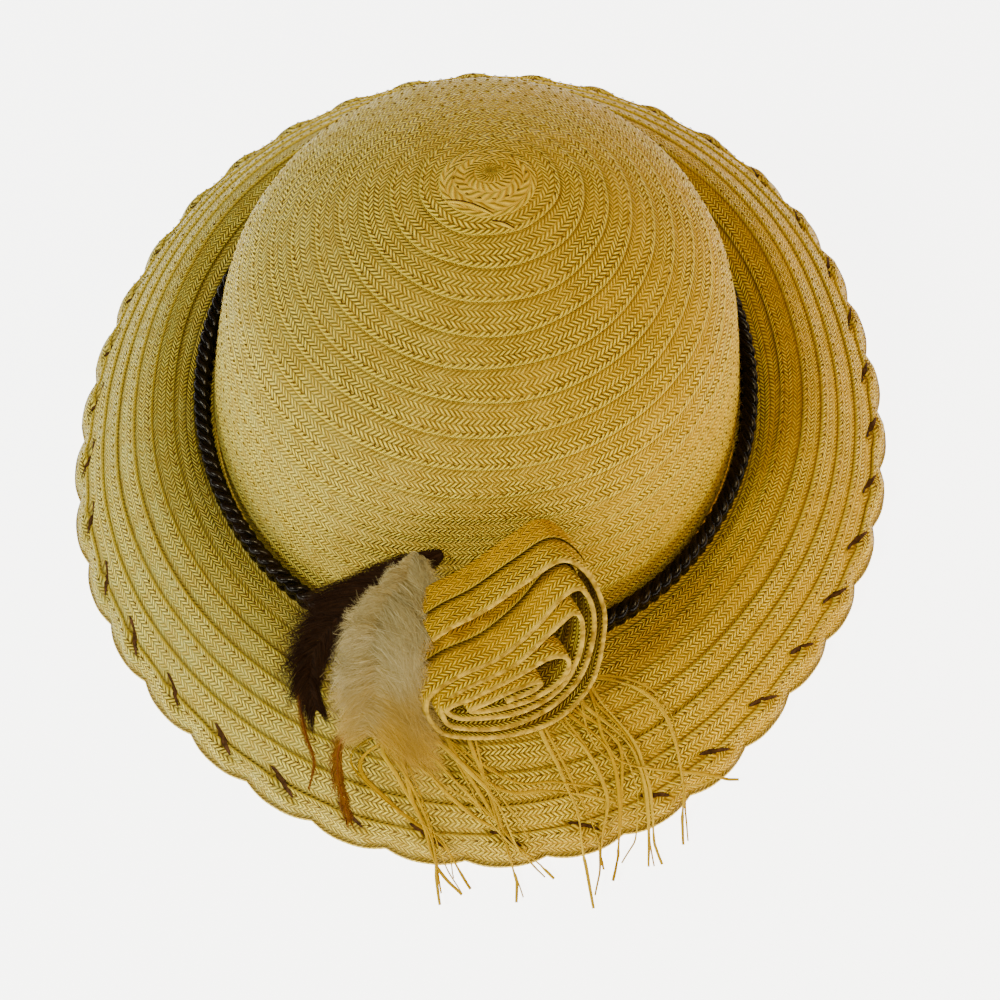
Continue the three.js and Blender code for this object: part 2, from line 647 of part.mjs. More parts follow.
// Fuses overlapping closed solids into one
async function makeFuser() {
  const wasm = await Module();
  wasm.setup();
  const toSolid = (geometry) => {
    const mesh = new wasm.Mesh({
      numProp: 3,
      vertProperties: Float32Array.from(geometry.getAttribute('position').array),
      triVerts: Uint32Array.from(geometry.getIndex().array),
    });
    return new wasm.Manifold(mesh);
  };
  return (parts) => {
    const solid = parts.map(toSolid).reduce((all, one) => all.add(one));
    const mesh = solid.getMesh();
    const geometry = new THREE.BufferGeometry();
    geometry.setAttribute('position', new THREE.Float32BufferAttribute(mesh.vertProperties, 3));
    geometry.setIndex(Array.from(mesh.triVerts));
    return geometry;
  };
}

const fuse = await makeFuser();

const darkRoot = crownSeat(DARK_FEATHER.root);
const creamRoot = crownSeat(CREAM_FEATHER.root);
const creamQuill = new THREE.CatmullRomCurve3(quillPoints(CREAM_FEATHER, creamRoot), false, 'centripetal');
const hackleRoot = creamQuill.getPoint(HACKLE_FEATHER.root.quill);
hackleRoot.z -= 2 * QUILL + PART_GAP;

const pieces = {
  crown: makeCrown(),
  brim: makeBrim(),
  hat_band: makeBand(),
  rosette: makeRosette(),
  raffia_fringe: fuse(fringeParts()),
  dark_feather: fuse(featherParts(DARK_FEATHER, darkRoot, 5, 0.9)),
  cream_feather: fuse(featherParts(CREAM_FEATHER, creamRoot, 7, 0.7)),
  hackle_feather: fuse(featherParts(HACKLE_FEATHER, hackleRoot, 2, 2.0)),
};

// The frame's origin sits on the floor under the middle of the hat
const bounds = new THREE.Box3();
for (const geometry of Object.values(pieces)) {
  geometry.computeBoundingBox();
  bounds.union(geometry.boundingBox);
}
const centre = bounds.getCenter(new THREE.Vector3());

const hat = new THREE.Group();
hat.name = 'cloche_hat';
for (const [name, geometry] of Object.entries(pieces)) {
  geometry.translate(-centre.x, -centre.y, -bounds.min.z);
  geometry.computeVertexNormals();
  const mesh = new THREE.Mesh(geometry, new THREE.MeshStandardMaterial());
  mesh.name = name;
  hat.add(mesh);
}

export default hat;
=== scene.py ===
import math
import bpy
import numpy as np
from mathutils import Matrix, Vector


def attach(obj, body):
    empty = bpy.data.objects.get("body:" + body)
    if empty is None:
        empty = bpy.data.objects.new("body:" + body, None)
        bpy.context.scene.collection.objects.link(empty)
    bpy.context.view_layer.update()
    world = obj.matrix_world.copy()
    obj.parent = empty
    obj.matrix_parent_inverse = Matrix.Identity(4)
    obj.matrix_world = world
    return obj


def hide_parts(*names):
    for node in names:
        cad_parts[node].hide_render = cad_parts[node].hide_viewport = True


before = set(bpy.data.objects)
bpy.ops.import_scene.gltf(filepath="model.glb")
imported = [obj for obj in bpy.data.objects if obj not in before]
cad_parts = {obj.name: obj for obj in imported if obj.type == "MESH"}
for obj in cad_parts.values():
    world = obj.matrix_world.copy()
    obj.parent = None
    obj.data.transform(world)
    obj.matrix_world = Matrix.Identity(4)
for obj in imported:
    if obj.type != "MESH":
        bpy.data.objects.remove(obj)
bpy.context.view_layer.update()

TAU = 2 * math.pi

# Sizes in millimetres, as in the part's source
SHIFT = np.array([1.7403, 7.0375, 0.0])   # from the sizes below to the row's frame
BRAID_PITCH = 9.1
ROW_STEP = 0.9
PART_GAP = 0.4
CROWN_TOP = 126.0
CROWN_FOOT = 27.3
CROWN_HALF_WIDTH = 91.3
CROWN_HALF_DEPTH = 97.9
CROWN_WALL = 1.8
CROWN_FIRST_ROW = 10.05
CROWN_TIP = np.array([2.3, 21.5])
CROWN_BASE = np.array([-3.6, 1.9])
DENT = {"depth": 7.0, "angle": 272.0, "spread": 24.0, "height": 0.352, "rise": 0.172}
CROWN_TABLE = {
    "run": [0, 0.0625, 0.125, 0.25, 0.375, 0.5, 0.5625, 0.625, 0.6875, 0.8125, 1],
    "drop": [0, 0.017, 0.042, 0.110, 0.199, 0.307, 0.373, 0.450, 0.535, 0.719, 1],
    "width": [0, 0.128, 0.232, 0.416, 0.589, 0.748, 0.818, 0.872, 0.912, 0.953, 1],
    "depth": [0, 0.095, 0.189, 0.371, 0.543, 0.703, 0.773, 0.832, 0.877, 0.932, 1],
}
CROWN_RUN = float(np.hypot(
    np.diff(CROWN_TABLE["depth"]) * CROWN_HALF_DEPTH,
    np.diff(CROWN_TABLE["drop"]) * (CROWN_TOP - CROWN_FOOT),
).sum())
BRIM_WIDTH = 60.0
BRIM_WALL = 1.9
BRIM_ROWS = 8
BRIM_SCALLOPS = 38
SCALLOP_NOTCH = 2.2
SCALLOP_TURN = 1.5
REST_LAND = 2.4
BRIM_EDGE = [
    0.949, 0.964, 1.010, 1.029, 1.023, 1.015, 0.998, 0.949, 0.907, 0.880, 0.852, 0.853,
    0.880, 0.931, 0.958, 0.973, 1.008, 1.061, 1.091, 1.082, 1.008, 0.936, 0.934, 0.944,
]
BRIM_TABLE = {
    "reach": [0, 0.12, 0.22, 0.34, 0.46, 0.60, 0.75, 0.88, 1],
    "side": [1, 1.030, 1.190, 1.270, 1.180, 0.940, 0.640, 0.345, 0.068],
    "front": [1, 1.010, 1.080, 1.120, 1.060, 0.890, 0.640, 0.355, 0.068],
}
BAND_WIDTH = 10.0
BAND_THICKNESS = 4.8
ROSE_SEAT = {"side": 5.21, "inset": 0.15, "rise": 21.95}
ROSE_AXIS = np.array([0.245, -0.82, 0.517]) / np.linalg.norm([0.245, -0.82, 0.517])
ROSE_RIBBON = 18.0
ROSE_WALL = 1.4
ROSE_HALF_WIDTH = 32.0
ROSE_HALF_HEIGHT = 28.0
ROSE_RISE = 9.0
ROSE_LEAN = 11.0
ROSE_LEAN_TURN = 114.0

# Rim of the rolled strip from outside to inside: side, up and lean
ROSE_RIM = [
    (-0.700, 0.540, 0.40), (-0.480, 0.640, 0.40), (-0.157, 0.734, 0.40), (0.289, 0.958, 0.40),
    (0.647, 1.100, 0.40), (0.873, 0.869, 0.40), (0.989, 0.395, 0.40), (0.958, -0.045, 0.55),
    (0.747, -0.685, 0.80), (0.321, -1.053, 1.00), (-0.206, -1.057, 1.00), (-0.731, -0.814, 1.00),
    (-0.910, -0.500, 0.90), (-0.880, -0.160, 0.90), (-0.560, 0.030, 1.00), (-0.148, 0.121, 1.00),
    (0.247, 0.374, 1.00), (0.568, 0.694, 0.96), (0.774, 0.741, 0.92), (0.870, 0.448, 0.90),
    (0.827, 0.014, 0.90), (0.623, -0.478, 0.90), (0.261, -0.778, 0.90), (-0.218, -0.847, 0.90),
    (-0.690, -0.627, 0.90), (-0.790, -0.400, 0.90), (-0.750, -0.220, 0.90), (-0.494, -0.080, 0.90),
    (-0.016, 0.036, 0.90), (0.384, 0.340, 0.90), (0.646, 0.511, 0.88), (0.735, 0.332, 0.86),
    (0.650, -0.089, 0.84), (0.390, -0.490, 0.82), (-0.045, -0.641, 0.80), (-0.560, -0.500, 0.80),
    (-0.740, -0.330, 0.80), (-0.700, -0.220, 0.80), (-0.440, -0.180, 0.80), (-0.039, -0.070, 0.80),
    (0.322, 0.059, 0.80), (0.505, 0.000, 0.78), (0.520, -0.173, 0.76), (0.380, -0.354, 0.74),
    (0.086, -0.467, 0.72), (-0.241, -0.458, 0.70), (-0.500, -0.380, 0.70), (-0.520, -0.300, 0.70),
    (-0.360, -0.270, 0.70), (-0.074, -0.200, 0.70), (0.170, -0.180, 0.70), (0.220, -0.250, 0.70),
    (0.110, -0.330, 0.70), (-0.160, -0.360, 0.70),
]

# Feathers: side, forward and up as shares of the length, then the vane left and right
DARK_FEATHER = {
    "length": 64.0, "vane": 5.5, "root": (0.757, 261.5, 2.4),
    "rows": [
        (0.000, 0.000, 0.000, 0.36, 0.36), (-0.167, 0.067, -0.029, 0.73, 0.64),
        (-0.385, 0.160, -0.123, 1.00, 0.91), (-0.557, 0.270, -0.232, 1.00, 1.00),
        (-0.651, 0.395, -0.310, 0.82, 0.91), (-0.667, 0.528, -0.357, 0.55, 0.55),
        (-0.635, 0.653, -0.404, 0.18, 0.18),
    ],
}
CREAM_FEATHER = {
    "length": 64.0, "vane": 14.0, "root": (0.747, 256.1, 4.1),
    "rows": [
        (0.000, 0.000, 0.000, 0.14, 0.18), (-0.080, 0.199, 0.036, 0.64, 0.57),
        (-0.173, 0.371, 0.020, 0.86, 0.61), (-0.205, 0.527, -0.073, 1.00, 0.71),
        (-0.220, 0.668, -0.214, 0.96, 0.93), (-0.220, 0.777, -0.355, 0.86, 0.86),
        (-0.189, 0.863, -0.495, 0.36, 0.50),
    ],
}
HACKLE_FEATHER = {
    "length": 45.0, "vane": 1.8,
    "rows": [
        (0.000, 0.000, 0.000, 0.56, 0.56), (-0.223, 0.133, -0.248, 0.89, 0.89),
        (-0.268, 0.323, -0.424, 1.00, 1.00), (-0.234, 0.479, -0.557, 0.89, 0.89),
        (-0.201, 0.612, -0.691, 0.44, 0.44),
    ],
}
HACKLE_ROOT = 0.72
QUILL = 1.6
STRAND = 1.7
FRINGE_KNOT = 2.6
KNOT_PATH = [(262.0, 0.393), (268.2, 0.422), (274.6, 0.434), (280.9, 0.395), (285.7, 0.301)]

# Strands of the fringe: compass angles and reaches on the brim, from the knot to the tip
STRAND_PATHS = [
    [(287.6, 0.31), (292.2, 0.43), (294.7, 0.57), (295.1, 0.73), (293.4, 0.99), (291.6, 1.16)],
    [(285.7, 0.59), (288.5, 0.74), (297.4, 0.94), (301.2, 1.07)],
    [(286.8, 0.43), (289.9, 0.71), (289.4, 0.98), (288.6, 1.19)],
    [(284.3, 0.42), (289.3, 0.69), (288.5, 1.00), (287.0, 1.17)],
    [(281.6, 0.43), (286.2, 0.66), (285.4, 0.92), (283.0, 1.17)],
    [(280.3, 0.45), (284.4, 0.77), (282.1, 1.10)],
    [(277.0, 0.46), (280.2, 0.81), (280.4, 1.00), (280.1, 1.27)],
    [(262.8, 0.51), (271.0, 0.70), (277.1, 0.73), (285.7, 0.85)],
    [(267.0, 0.50), (271.2, 0.87), (272.5, 1.18)],
    [(264.5, 0.53), (271.5, 0.87), (276.6, 1.09)],
    [(255.1, 0.56), (257.9, 0.69), (262.4, 0.89), (264.4, 1.20)],
    [(257.4, 0.56), (263.4, 1.00), (266.6, 1.14)],
    [(252.5, 0.66), (257.5, 0.80), (264.7, 0.95), (267.5, 1.11)],
    [(259.4, 0.49), (265.2, 0.67), (270.9, 0.85)],
    [(257.9, 0.53), (262.3, 0.67), (267.1, 0.80), (270.5, 0.86)],
    [(259.8, 0.49), (264.0, 0.54), (270.9, 0.78), (273.1, 0.95)],
]

# Long brown wisp from the tip of the dark feather, in plan and height
WISP = [
    (-61.6, -105.8, 34.2), (-61.1, -115.2, 30.3), (-59.4, -124.4, 25.4), (-57.0, -131.5, 21.4),
    (-59.1, -138.6, 14.4),
]

# Fine detail that the source leaves out
STRAW = 1.6            # pitch of the plaited straws along a row
STITCH_PITCH = 4.2
STITCH_LENGTH = 1.3
STITCH_INSET = 1.25    # from the stitches to the free edge of their row
ROW_SLOPE = 1.15       # power by which a row rises towards its free edge
ROW_PUFF = 0.22        # how far a row bulges between its edges
ROW_TUCK = 1.3         # how far a crown row starts under the row above it
SLIT_LENGTH = 13.0
SLIT_HALF_WIDTH = 0.8
SLIT_INSET = 7.4       # from the middle of a slit to the brim edge
SLIT_SLANT = 0.36
SLIT_LIFT = 1.0        # from the bottom of the groove to the dark opening
SLIT_RIDGE = 0.15      # how far the middle of the opening stands above its sides
GROOVE_DEPTH = 1.5
GROOVE_WIDTH = 0.75
GROOVE_REACH = 0.62    # half length of the groove as a share of the slit's length
ARCH_LIFT = 1.2        # how far the pulled braid arches up outside a slit
ARCH_WIDTH = 5.5
PUCKER_LIFT = 0.35
PUCKER_WIDTH = 3.5
UNDER_SHARES = np.array([0.92, 0.84, 0.7, 0.5, 0.36, 0.24, 0.16, 0.08, 0.0])
PLAIT_STRANDS = 4
PLAIT_REPEAT = 19.0    # length along the band after which the plait repeats
PLAIT_HALF_WIDTH = 2.45
PLAIT_HALF_THICKNESS = 1.45
PLAIT_INSET_UP = 2.1   # from the edge of the band to the middle of a strand at its highest
PLAIT_INSET_OUT = 0.95
CORE_HALF_WIDTH = 4.2
CORE_HALF_THICKNESS = 1.9
STRAND_STEPS = 44
TIP_SPREAD = 2.0       # how far the first row spreads over the next, most of all towards its side
TIP_SIDE = math.radians(255)
# Where the braid starts and folds at the crown tip, from the tip in plan
TIP_SEAMS = [
    [(-14.9, -9.0), (-11.0, -9.6), (-7.0, -10.7), (-3.0, -12.4), (1.1, -14.6)],
    [(-0.2, -16.4), (3.5, -17.2), (7.3, -19.0)],
]

rng = np.random.default_rng(11)


# Reading tables
def read_table(table, by, column, at):
    x = np.array(table[by], float)
    y = np.array(table[column], float)
    at = np.clip(np.asarray(at, float), x[0], x[-1])
    width = np.diff(x)
    slope = np.diff(y) / width
    tangent = np.empty(len(x))
    tangent[0] = slope[0]
    tangent[-1] = slope[-1]
    product = slope[:-1] * slope[1:]
    total = slope[:-1] + slope[1:]
    safe = np.where(product > 0, total, 1.0)
    tangent[1:-1] = np.where(product > 0, 2 * product / safe, 0.0)
    i = np.clip(np.searchsorted(x, at, side="left") - 1, 0, len(x) - 2)
    u = (at - x[i]) / width[i]
    a = y[i]
    b = y[i + 1]
    ta = tangent[i] * width[i]
    tb = tangent[i + 1] * width[i]
    return (a * (1 + 2 * u) * (1 - u) ** 2 + ta * u * (1 - u) ** 2
            + b * u * u * (3 - 2 * u) + tb * u * u * (u - 1))


def read_compass(values, degrees):
    values = np.array(values)
    n = len(values)
    turn = (np.asarray(degrees, float) % 360) / (360 / n)
    i = np.floor(turn).astype(int)
    u = turn - i
    a = values[(i - 1) % n]
    b = values[i % n]
    c = values[(i + 1) % n]
    d = values[(i + 2) % n]
    return b + 0.5 * u * (c - a + u * (2 * a - 5 * b + 4 * c - d + u * (3 * (b - c) + d - a)))


def smooth_step(low, high, x):
    t = np.clip((x - low) / (high - low), 0, 1)
    return t * t * (3 - 2 * t)


def curve_points(points, count):
    """Evenly spaced points on a smooth curve through the given ones"""
    points = np.asarray(points, float)
    ends = np.vstack([2 * points[0] - points[1], points, 2 * points[-1] - points[-2]])
    fine = []
    u = np.linspace(0, 1, 40, endpoint=False)[:, None]
    for i in range(1, len(ends) - 2):
        a, b, c, d = ends[i - 1], ends[i], ends[i + 1], ends[i + 2]
        fine.append(b + 0.5 * u * (c - a + u * (2 * a - 5 * b + 4 * c - d + u * (3 * (b - c) + d - a))))
    fine = np.vstack(fine + [points[-1:]])
    length = np.r_[0, np.cumsum(np.linalg.norm(np.diff(fine, axis=0), axis=1))]
    at = np.linspace(0, length[-1], count)
    return np.stack([np.interp(at, length, fine[:, k]) for k in range(3)], axis=1)


def unit(v):
    return v / np.maximum(np.linalg.norm(v, axis=-1, keepdims=True), 1e-9)


# Surfaces of the hat
def crown_profile(run):
    share = np.asarray(run, float) / CROWN_RUN
    return {
        "width": CROWN_HALF_WIDTH * read_table(CROWN_TABLE, "run", "width", share),
        "depth": CROWN_HALF_DEPTH * read_table(CROWN_TABLE, "run", "depth", share),
        "z": CROWN_TOP - (CROWN_TOP - CROWN_FOOT) * read_table(CROWN_TABLE, "run", "drop", share),
        "x": CROWN_TIP[0] + (CROWN_BASE[0] - CROWN_TIP[0]) * share,
        "y": CROWN_TIP[1] + (CROWN_BASE[1] - CROWN_TIP[1]) * share,
    }


def crown_point(run, angle, lift):
    run, angle, lift = np.broadcast_arrays(np.asarray(run, float), angle, lift)
    here = crown_profile(run)
    above = crown_profile(np.maximum(run - 2, 0))
    below = crown_profile(np.minimum(run + 2, CROWN_RUN))
    out_x = above["z"] - below["z"]
    out_z = below["depth"] - above["depth"]
    size = np.hypot(out_x, out_z)
    out_x = out_x / size
    out_z = out_z / size
    across = (np.degrees(angle) % 360 - DENT["angle"]) / DENT["spread"]
    along = ((here["z"] - CROWN_FOOT) / (CROWN_TOP - CROWN_FOOT) - DENT["height"]) / DENT["rise"]
    dent = DENT["depth"] * np.exp(-across ** 2 - along ** 2)
    width = np.maximum(here["width"] + (lift - dent) * out_x, 0.1)
    depth = np.maximum(here["depth"] + (lift - dent) * out_x, 0.1)
    return np.stack([
        here["x"] + width * np.cos(angle),
        here["y"] + depth * np.sin(angle),
        here["z"] + lift * out_z,
    ], axis=-1)


def brim_start(angle):
    cos = np.cos(angle)
    sin = np.sin(angle)
    width = CROWN_HALF_WIDTH + PART_GAP
    depth = CROWN_HALF_DEPTH + PART_GAP
    a = (cos / width) ** 2 + (sin / depth) ** 2
    b = -2 * (cos * CROWN_BASE[0] / width ** 2 + sin * CROWN_BASE[1] / depth ** 2)
    c = (CROWN_BASE[0] / width) ** 2 + (CROWN_BASE[1] / depth) ** 2 - 1
    return (-b + np.sqrt(b * b - 4 * a * c)) / (2 * a)


def brim_edge(angle):
    return brim_start(angle) + BRIM_WIDTH * read_compass(BRIM_EDGE, np.degrees(angle))


def brim_height(angle, share):
    side = read_table(BRIM_TABLE, "reach", "side", share)
    front = read_table(BRIM_TABLE, "reach", "front", share)
    return CROWN_FOOT * (side + (front - side) * np.maximum(-np.sin(angle), 0) ** 2)


def brim_notch(angle):
    """How far the scalloped edge draws in at this angle"""
    phase = ((np.degrees(angle) - SCALLOP_TURN) / (360 / BRIM_SCALLOPS)) % 1
    near = np.minimum(phase, 1 - phase)
    return SCALLOP_NOTCH * (1 - np.sin(np.pi * near)) ** 1.3


def brim_point(angle, share, lift, notched=0.0):
    angle, share, lift = np.broadcast_arrays(angle, np.asarray(share, float), lift)
    start = brim_start(angle)
    end = brim_edge(angle) - brim_notch(angle) * notched
    before = np.maximum(share - 0.02, 0)
    after = np.minimum(share + 0.02, 1)
    run = (after - before) * (end - start)
    fall = brim_height(angle, after) - brim_height(angle, before)
    size = np.hypot(run, fall)
    reach = start + share * (end - start) - lift * fall / size
    z = np.maximum(brim_height(angle, share) + lift * run / size, 0)
    return np.stack([reach * np.cos(angle), reach * np.sin(angle), z], axis=-1)


def brim_top_at(x, y):
    angle = np.arctan2(y, x)
    start = brim_start(angle)
    width = brim_edge(angle) - start
    share = (np.hypot(x, y) - start) / width
    on = brim_height(angle, np.clip(share, 0, 1)) + ROW_STEP
    off = np.maximum(brim_height(angle, 1.0) - (share - 1) * width, 0)
    return np.where(share > 1, off, on)


# Meshes
class Shell:
    """Collects grids of points and makes one mesh of them"""

    def __init__(self):
        self.points = []
        self.faces = []
        self.coords = []
        self.count = 0

    def grid(self, points, u, v, wrap=False, flip=False):
        rows, columns = points.shape[:2]
        i, j = np.meshgrid(np.arange(rows - 1), np.arange(columns if wrap else columns - 1), indexing="ij")
        k = (j + 1) % columns
        corners = [(i, j, j), (i + 1, j, j), (i + 1, k, j + 1), (i, k, j + 1)]
        if flip:
            corners.reverse()
        faces = np.stack([self.count + a * columns + b for a, b, _ in corners], axis=-1)
        u = np.broadcast_to(u, (rows, columns + 1 if wrap else columns))
        v = np.broadcast_to(v, u.shape)
        coords = np.stack([np.stack([u[a, c], v[a, c]], axis=-1) for a, _, c in corners], axis=-2)
        self.points.append(points.reshape(-1, 3))
        self.faces.append(faces.reshape(-1, 4))
        self.coords.append(coords.reshape(-1, 2))
        self.count += rows * columns

    def build(self, name, material, slot):
        return make_piece(
            name, np.vstack(self.points), np.vstack(self.faces), np.vstack(self.coords), material,
        )


def make_piece(name, points, faces, coords, material):
    sides = faces.shape[1]
    mesh = bpy.data.meshes.new(name)
    mesh.vertices.add(len(points))
    mesh.vertices.foreach_set("co", ((points + SHIFT) / 1000).astype(np.float32).ravel())
    mesh.loops.add(faces.size)
    mesh.loops.foreach_set("vertex_index", faces.astype(np.int32).ravel())
    mesh.polygons.add(len(faces))
    mesh.polygons.foreach_set("loop_start", np.arange(len(faces), dtype=np.int32) * sides)
    mesh.update(calc_edges=True)
    layer = mesh.uv_layers.new(name="braid")
    layer.data.foreach_set("uv", coords.astype(np.float32).ravel())
    mesh.polygons.foreach_set("use_smooth", np.full(len(faces), True))
    mesh.validate()
    piece = bpy.data.objects.new(name, mesh)
    bpy.context.scene.collection.objects.link(piece)
    mesh.materials.append(material)
    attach(piece, "root")
    return piece


def tube(shell, path, across, wide, thick, sides=6, tag=0.0):
    """A closed tube with an oval section; across is the direction of its width"""
    along = unit(np.gradient(path, axis=0))
    across = np.broadcast_to(across, path.shape)
    side = unit(across - (across * along).sum(axis=1, keepdims=True) * along)
    top = np.cross(side, along)
    turn = np.arange(sides) / sides * TAU
    wide = np.broadcast_to(wide, len(path))[:, None, None]
    thick = np.broadcast_to(thick, len(path))[:, None, None]
    rings = (path[:, None] + side[:, None] * np.cos(turn)[None, :, None] * wide
             + top[:, None] * np.sin(turn)[None, :, None] * thick)
    length = np.r_[0, np.cumsum(np.linalg.norm(np.diff(path, axis=0), axis=1))]
    round_it = np.arange(sides + 1) / sides
    shell.grid(rings, length[:, None] + 0 * round_it, tag + round_it, wrap=True)


# Materials
class Nodes:
    """Short names for the nodes that the materials are built from"""

    def __init__(self, name):
        self.material = bpy.data.materials.new(name)
        self.material.use_nodes = True
        self.tree = self.material.node_tree
        self.surface = self.tree.nodes["Principled BSDF"]

    def put(self, socket, value):
        if isinstance(value, bpy.types.NodeSocket):
            self.tree.links.new(value, socket)
        elif isinstance(value, tuple) and len(value) == 3 and socket.type == "RGBA":
            socket.default_value = (*value, 1)
        else:
            socket.default_value = value

    def math(self, operation, a, b=0.0, c=0.0):
        node = self.tree.nodes.new("ShaderNodeMath")
        node.operation = operation
        for socket, value in zip(node.inputs, (a, b, c)):
            self.put(socket, value)
        return node.outputs[0]

    def ramp(self, value, low, high, start=0.0, end=1.0):
        node = self.tree.nodes.new("ShaderNodeMapRange")
        node.interpolation_type = "SMOOTHSTEP"
        for socket, given in zip(node.inputs, (value, low, high, start, end)):
            self.put(socket, given)
        return node.outputs[0]

    def mix(self, share, a, b, kind="MIX"):
        node = self.tree.nodes.new("ShaderNodeMix")
        node.data_type = "RGBA"
        node.blend_type = kind
        self.put(node.inputs[0], share)
        self.put(node.inputs[6], a)
        self.put(node.inputs[7], b)
        return node.outputs[2]

    def coords(self, kind="UV"):
        node = self.tree.nodes.new("ShaderNodeTexCoord")
        return node.outputs[kind]

    def split(self, vector):
        node = self.tree.nodes.new("ShaderNodeSeparateXYZ")
        self.put(node.inputs[0], vector)
        return node.outputs

    def noise(self, vector, scale, detail=2.0):
        node = self.tree.nodes.new("ShaderNodeTexNoise")
        self.put(node.inputs["Vector"], vector)
        node.inputs["Scale"].default_value = scale
        node.inputs["Detail"].default_value = detail
        return node.outputs["Fac"]

    def grain(self, value):
        node = self.tree.nodes.new("ShaderNodeTexWhiteNoise")
        node.noise_dimensions = "1D"
        self.put(node.inputs["W"], value)
        return node.outputs["Value"]

    def bump(self, height, distance, strength=1.0):
        node = self.tree.nodes.new("ShaderNodeBump")
        node.inputs["Distance"].default_value = distance
        node.inputs["Strength"].default_value = strength
        self.put(node.inputs["Height"], height)
        return node.outputs["Normal"]

    def finish(self, color, roughness, normal=None, **constants):
        self.put(self.surface.inputs["Base Color"], color)
        self.put(self.surface.inputs["Roughness"], roughness)
        if normal is not None:
            self.put(self.surface.inputs["Normal"], normal)
        for name, value in constants.items():
            self.surface.inputs[name.replace("_", " ")].default_value = value
        return self.material


LANES = 3              # lanes of chevrons across a row
# Painted highlight on the crest of each straw
STRAW_HIGHLIGHT = (0.98, 0.80, 0.08)
# Painted highlight along the free edge of each row
LIP_HIGHLIGHT = (0.72, 0.54, 0.05)
SHADED_STRAW = (0.13, 0.07, 0.002)
# Painted shade in the gaps between the straws
WEAVE_GAP_SHADE = (0.045, 0.022, 0.0)
DULL = 0.04            # shine of fibres and thread


def straw_material(name, pale, gold, deep, lip_low):
    """Plaited straw: soft chevrons across each row, drawn as painted highlights on the straws and painted
    shade in the gaps, clearest beside the free edge, which carries a pale painted highlight; painted shade
    lies where the row runs under its neighbour
    """
    n = Nodes(name)
    uv = n.split(n.coords("UV"))
    row = n.math("FLOOR", uv[1])
    place = n.math("FRACT", uv[1])
    lane = n.math("MULTIPLY", place, float(LANES))
    fold = n.math("ABSOLUTE", n.math("SUBTRACT", n.math("FRACT", lane), 0.5))
    phase = n.math("ADD", uv[0], n.math("MULTIPLY", fold, 2.3))
    across = n.math("FRACT", phase)
    round_top = n.math("SINE", n.math("MULTIPLY", across, math.pi))
    crossing = n.ramp(fold, 0.0, 0.12, 0.45, 1.0)
    edge_dip = n.ramp(fold, 0.38, 0.5, 1.0, 0.35)
    height = n.math("MULTIPLY", round_top, n.math("MULTIPLY", crossing, edge_dip))
    which = n.math("ADD", n.math("FLOOR", phase), n.math("MULTIPLY", n.math("FLOOR", lane), 57.3))
    which = n.math("ADD", which, n.math("MULTIPLY", row, 317.7))
    tone = n.grain(which)
    where = n.coords("Object")
    blotch = n.noise(where, 26.0, 3.0)
    streak = n.noise(where, 900.0, 2.0)
    # Patches where the painted highlights and gap shade of the weave show more or less strongly
    weave_patches = n.ramp(n.noise(where, 75.0, 3.0), 0.36, 0.62, 0.50, 1.0)
    if lip_low:
        clear = n.ramp(place, 0.95, 0.25, 0.45, 1.0)
        lip_highlight = n.ramp(place, 0.085, 0.03)
        shade = n.ramp(place, 0.70, 1.0, 0.0, 0.92)
    else:
        clear = n.ramp(place, 0.05, 0.75, 0.45, 1.0)
        clear = n.math("MULTIPLY", clear, n.ramp(uv[1], 0.4, 2.2, 0.15, 1.0))
        lip_highlight = n.ramp(place, 0.915, 0.97)
        shade = n.math("MULTIPLY", n.ramp(place, 0.30, 0.0, 0.0, 0.92), n.ramp(uv[1], 0.5, 1.0))
    weave = n.math("MULTIPLY", weave_patches, clear)
    # Painted light: the straw is coloured paler and greener towards the left of the hat and golden towards
    # the right, as cool light falls from the left and warm light from the right
    base = n.mix(n.ramp(n.split(where)[0], -0.12, 0.10), pale, gold)
    base = n.mix(n.math("MULTIPLY", blotch, 0.35), base, gold)
    base = n.mix(n.ramp(tone, 0.1, 0.9, 0.0, 0.40), base, deep)
    # Painted highlight on each straw's crest, then painted shade in the gaps between straws
    high = n.math("MULTIPLY", n.ramp(height, 0.55, 0.95, 0.0, 0.75), weave)
    base = n.mix(high, base, STRAW_HIGHLIGHT)
    low = n.math("MULTIPLY", n.ramp(height, 0.0, 0.58, 1.0, 0.0), weave)
    base = n.mix(low, base, WEAVE_GAP_SHADE)
    base = n.mix(n.ramp(streak, 0.35, 0.7, 0.25, 0.0), base, deep)
    # Painted highlight along the free edge of the row
    base = n.mix(n.math("MULTIPLY", lip_highlight, 0.5), base, LIP_HIGHLIGHT)
    base = n.mix(shade, base, SHADED_STRAW)
    rough = n.ramp(tone, 0.0, 1.0, 0.45, 0.65)
    return n.finish(base, rough, n.bump(height, 0.0010, 1.0), Specular_IOR_Level=0.03,
                    Specular_Tint=(1.0, 0.75, 0.25, 1.0))


def leather_material():
    n = Nodes("plaited leather")
    uv = n.split(n.coords("UV"))
    where = n.coords("Object")
    pores = n.noise(where, 1500.0, 3.0)
    wear = n.noise(where, 120.0, 3.0)
    lane = n.math("ABSOLUTE", n.math("SUBTRACT", n.math("FRACT", uv[1]), 0.5))
    color = n.mix(n.ramp(wear, 0.45, 0.75), (0.0020, 0.0014, 0.0010), (0.009, 0.0045, 0.002))
    # Painted highlight: the upper edge of each strand is drawn a little lighter
    color = n.mix(n.ramp(lane, 0.44, 0.5, 0.0, 0.4), color, (0.016, 0.008, 0.005))
    rough = n.ramp(pores, 0.3, 0.7, 0.16, 0.34)
    return n.finish(color, rough, n.bump(pores, 0.0001, 0.5), Specular_IOR_Level=0.16,
                    Specular_Tint=(1.0, 0.90, 0.80, 1.0))


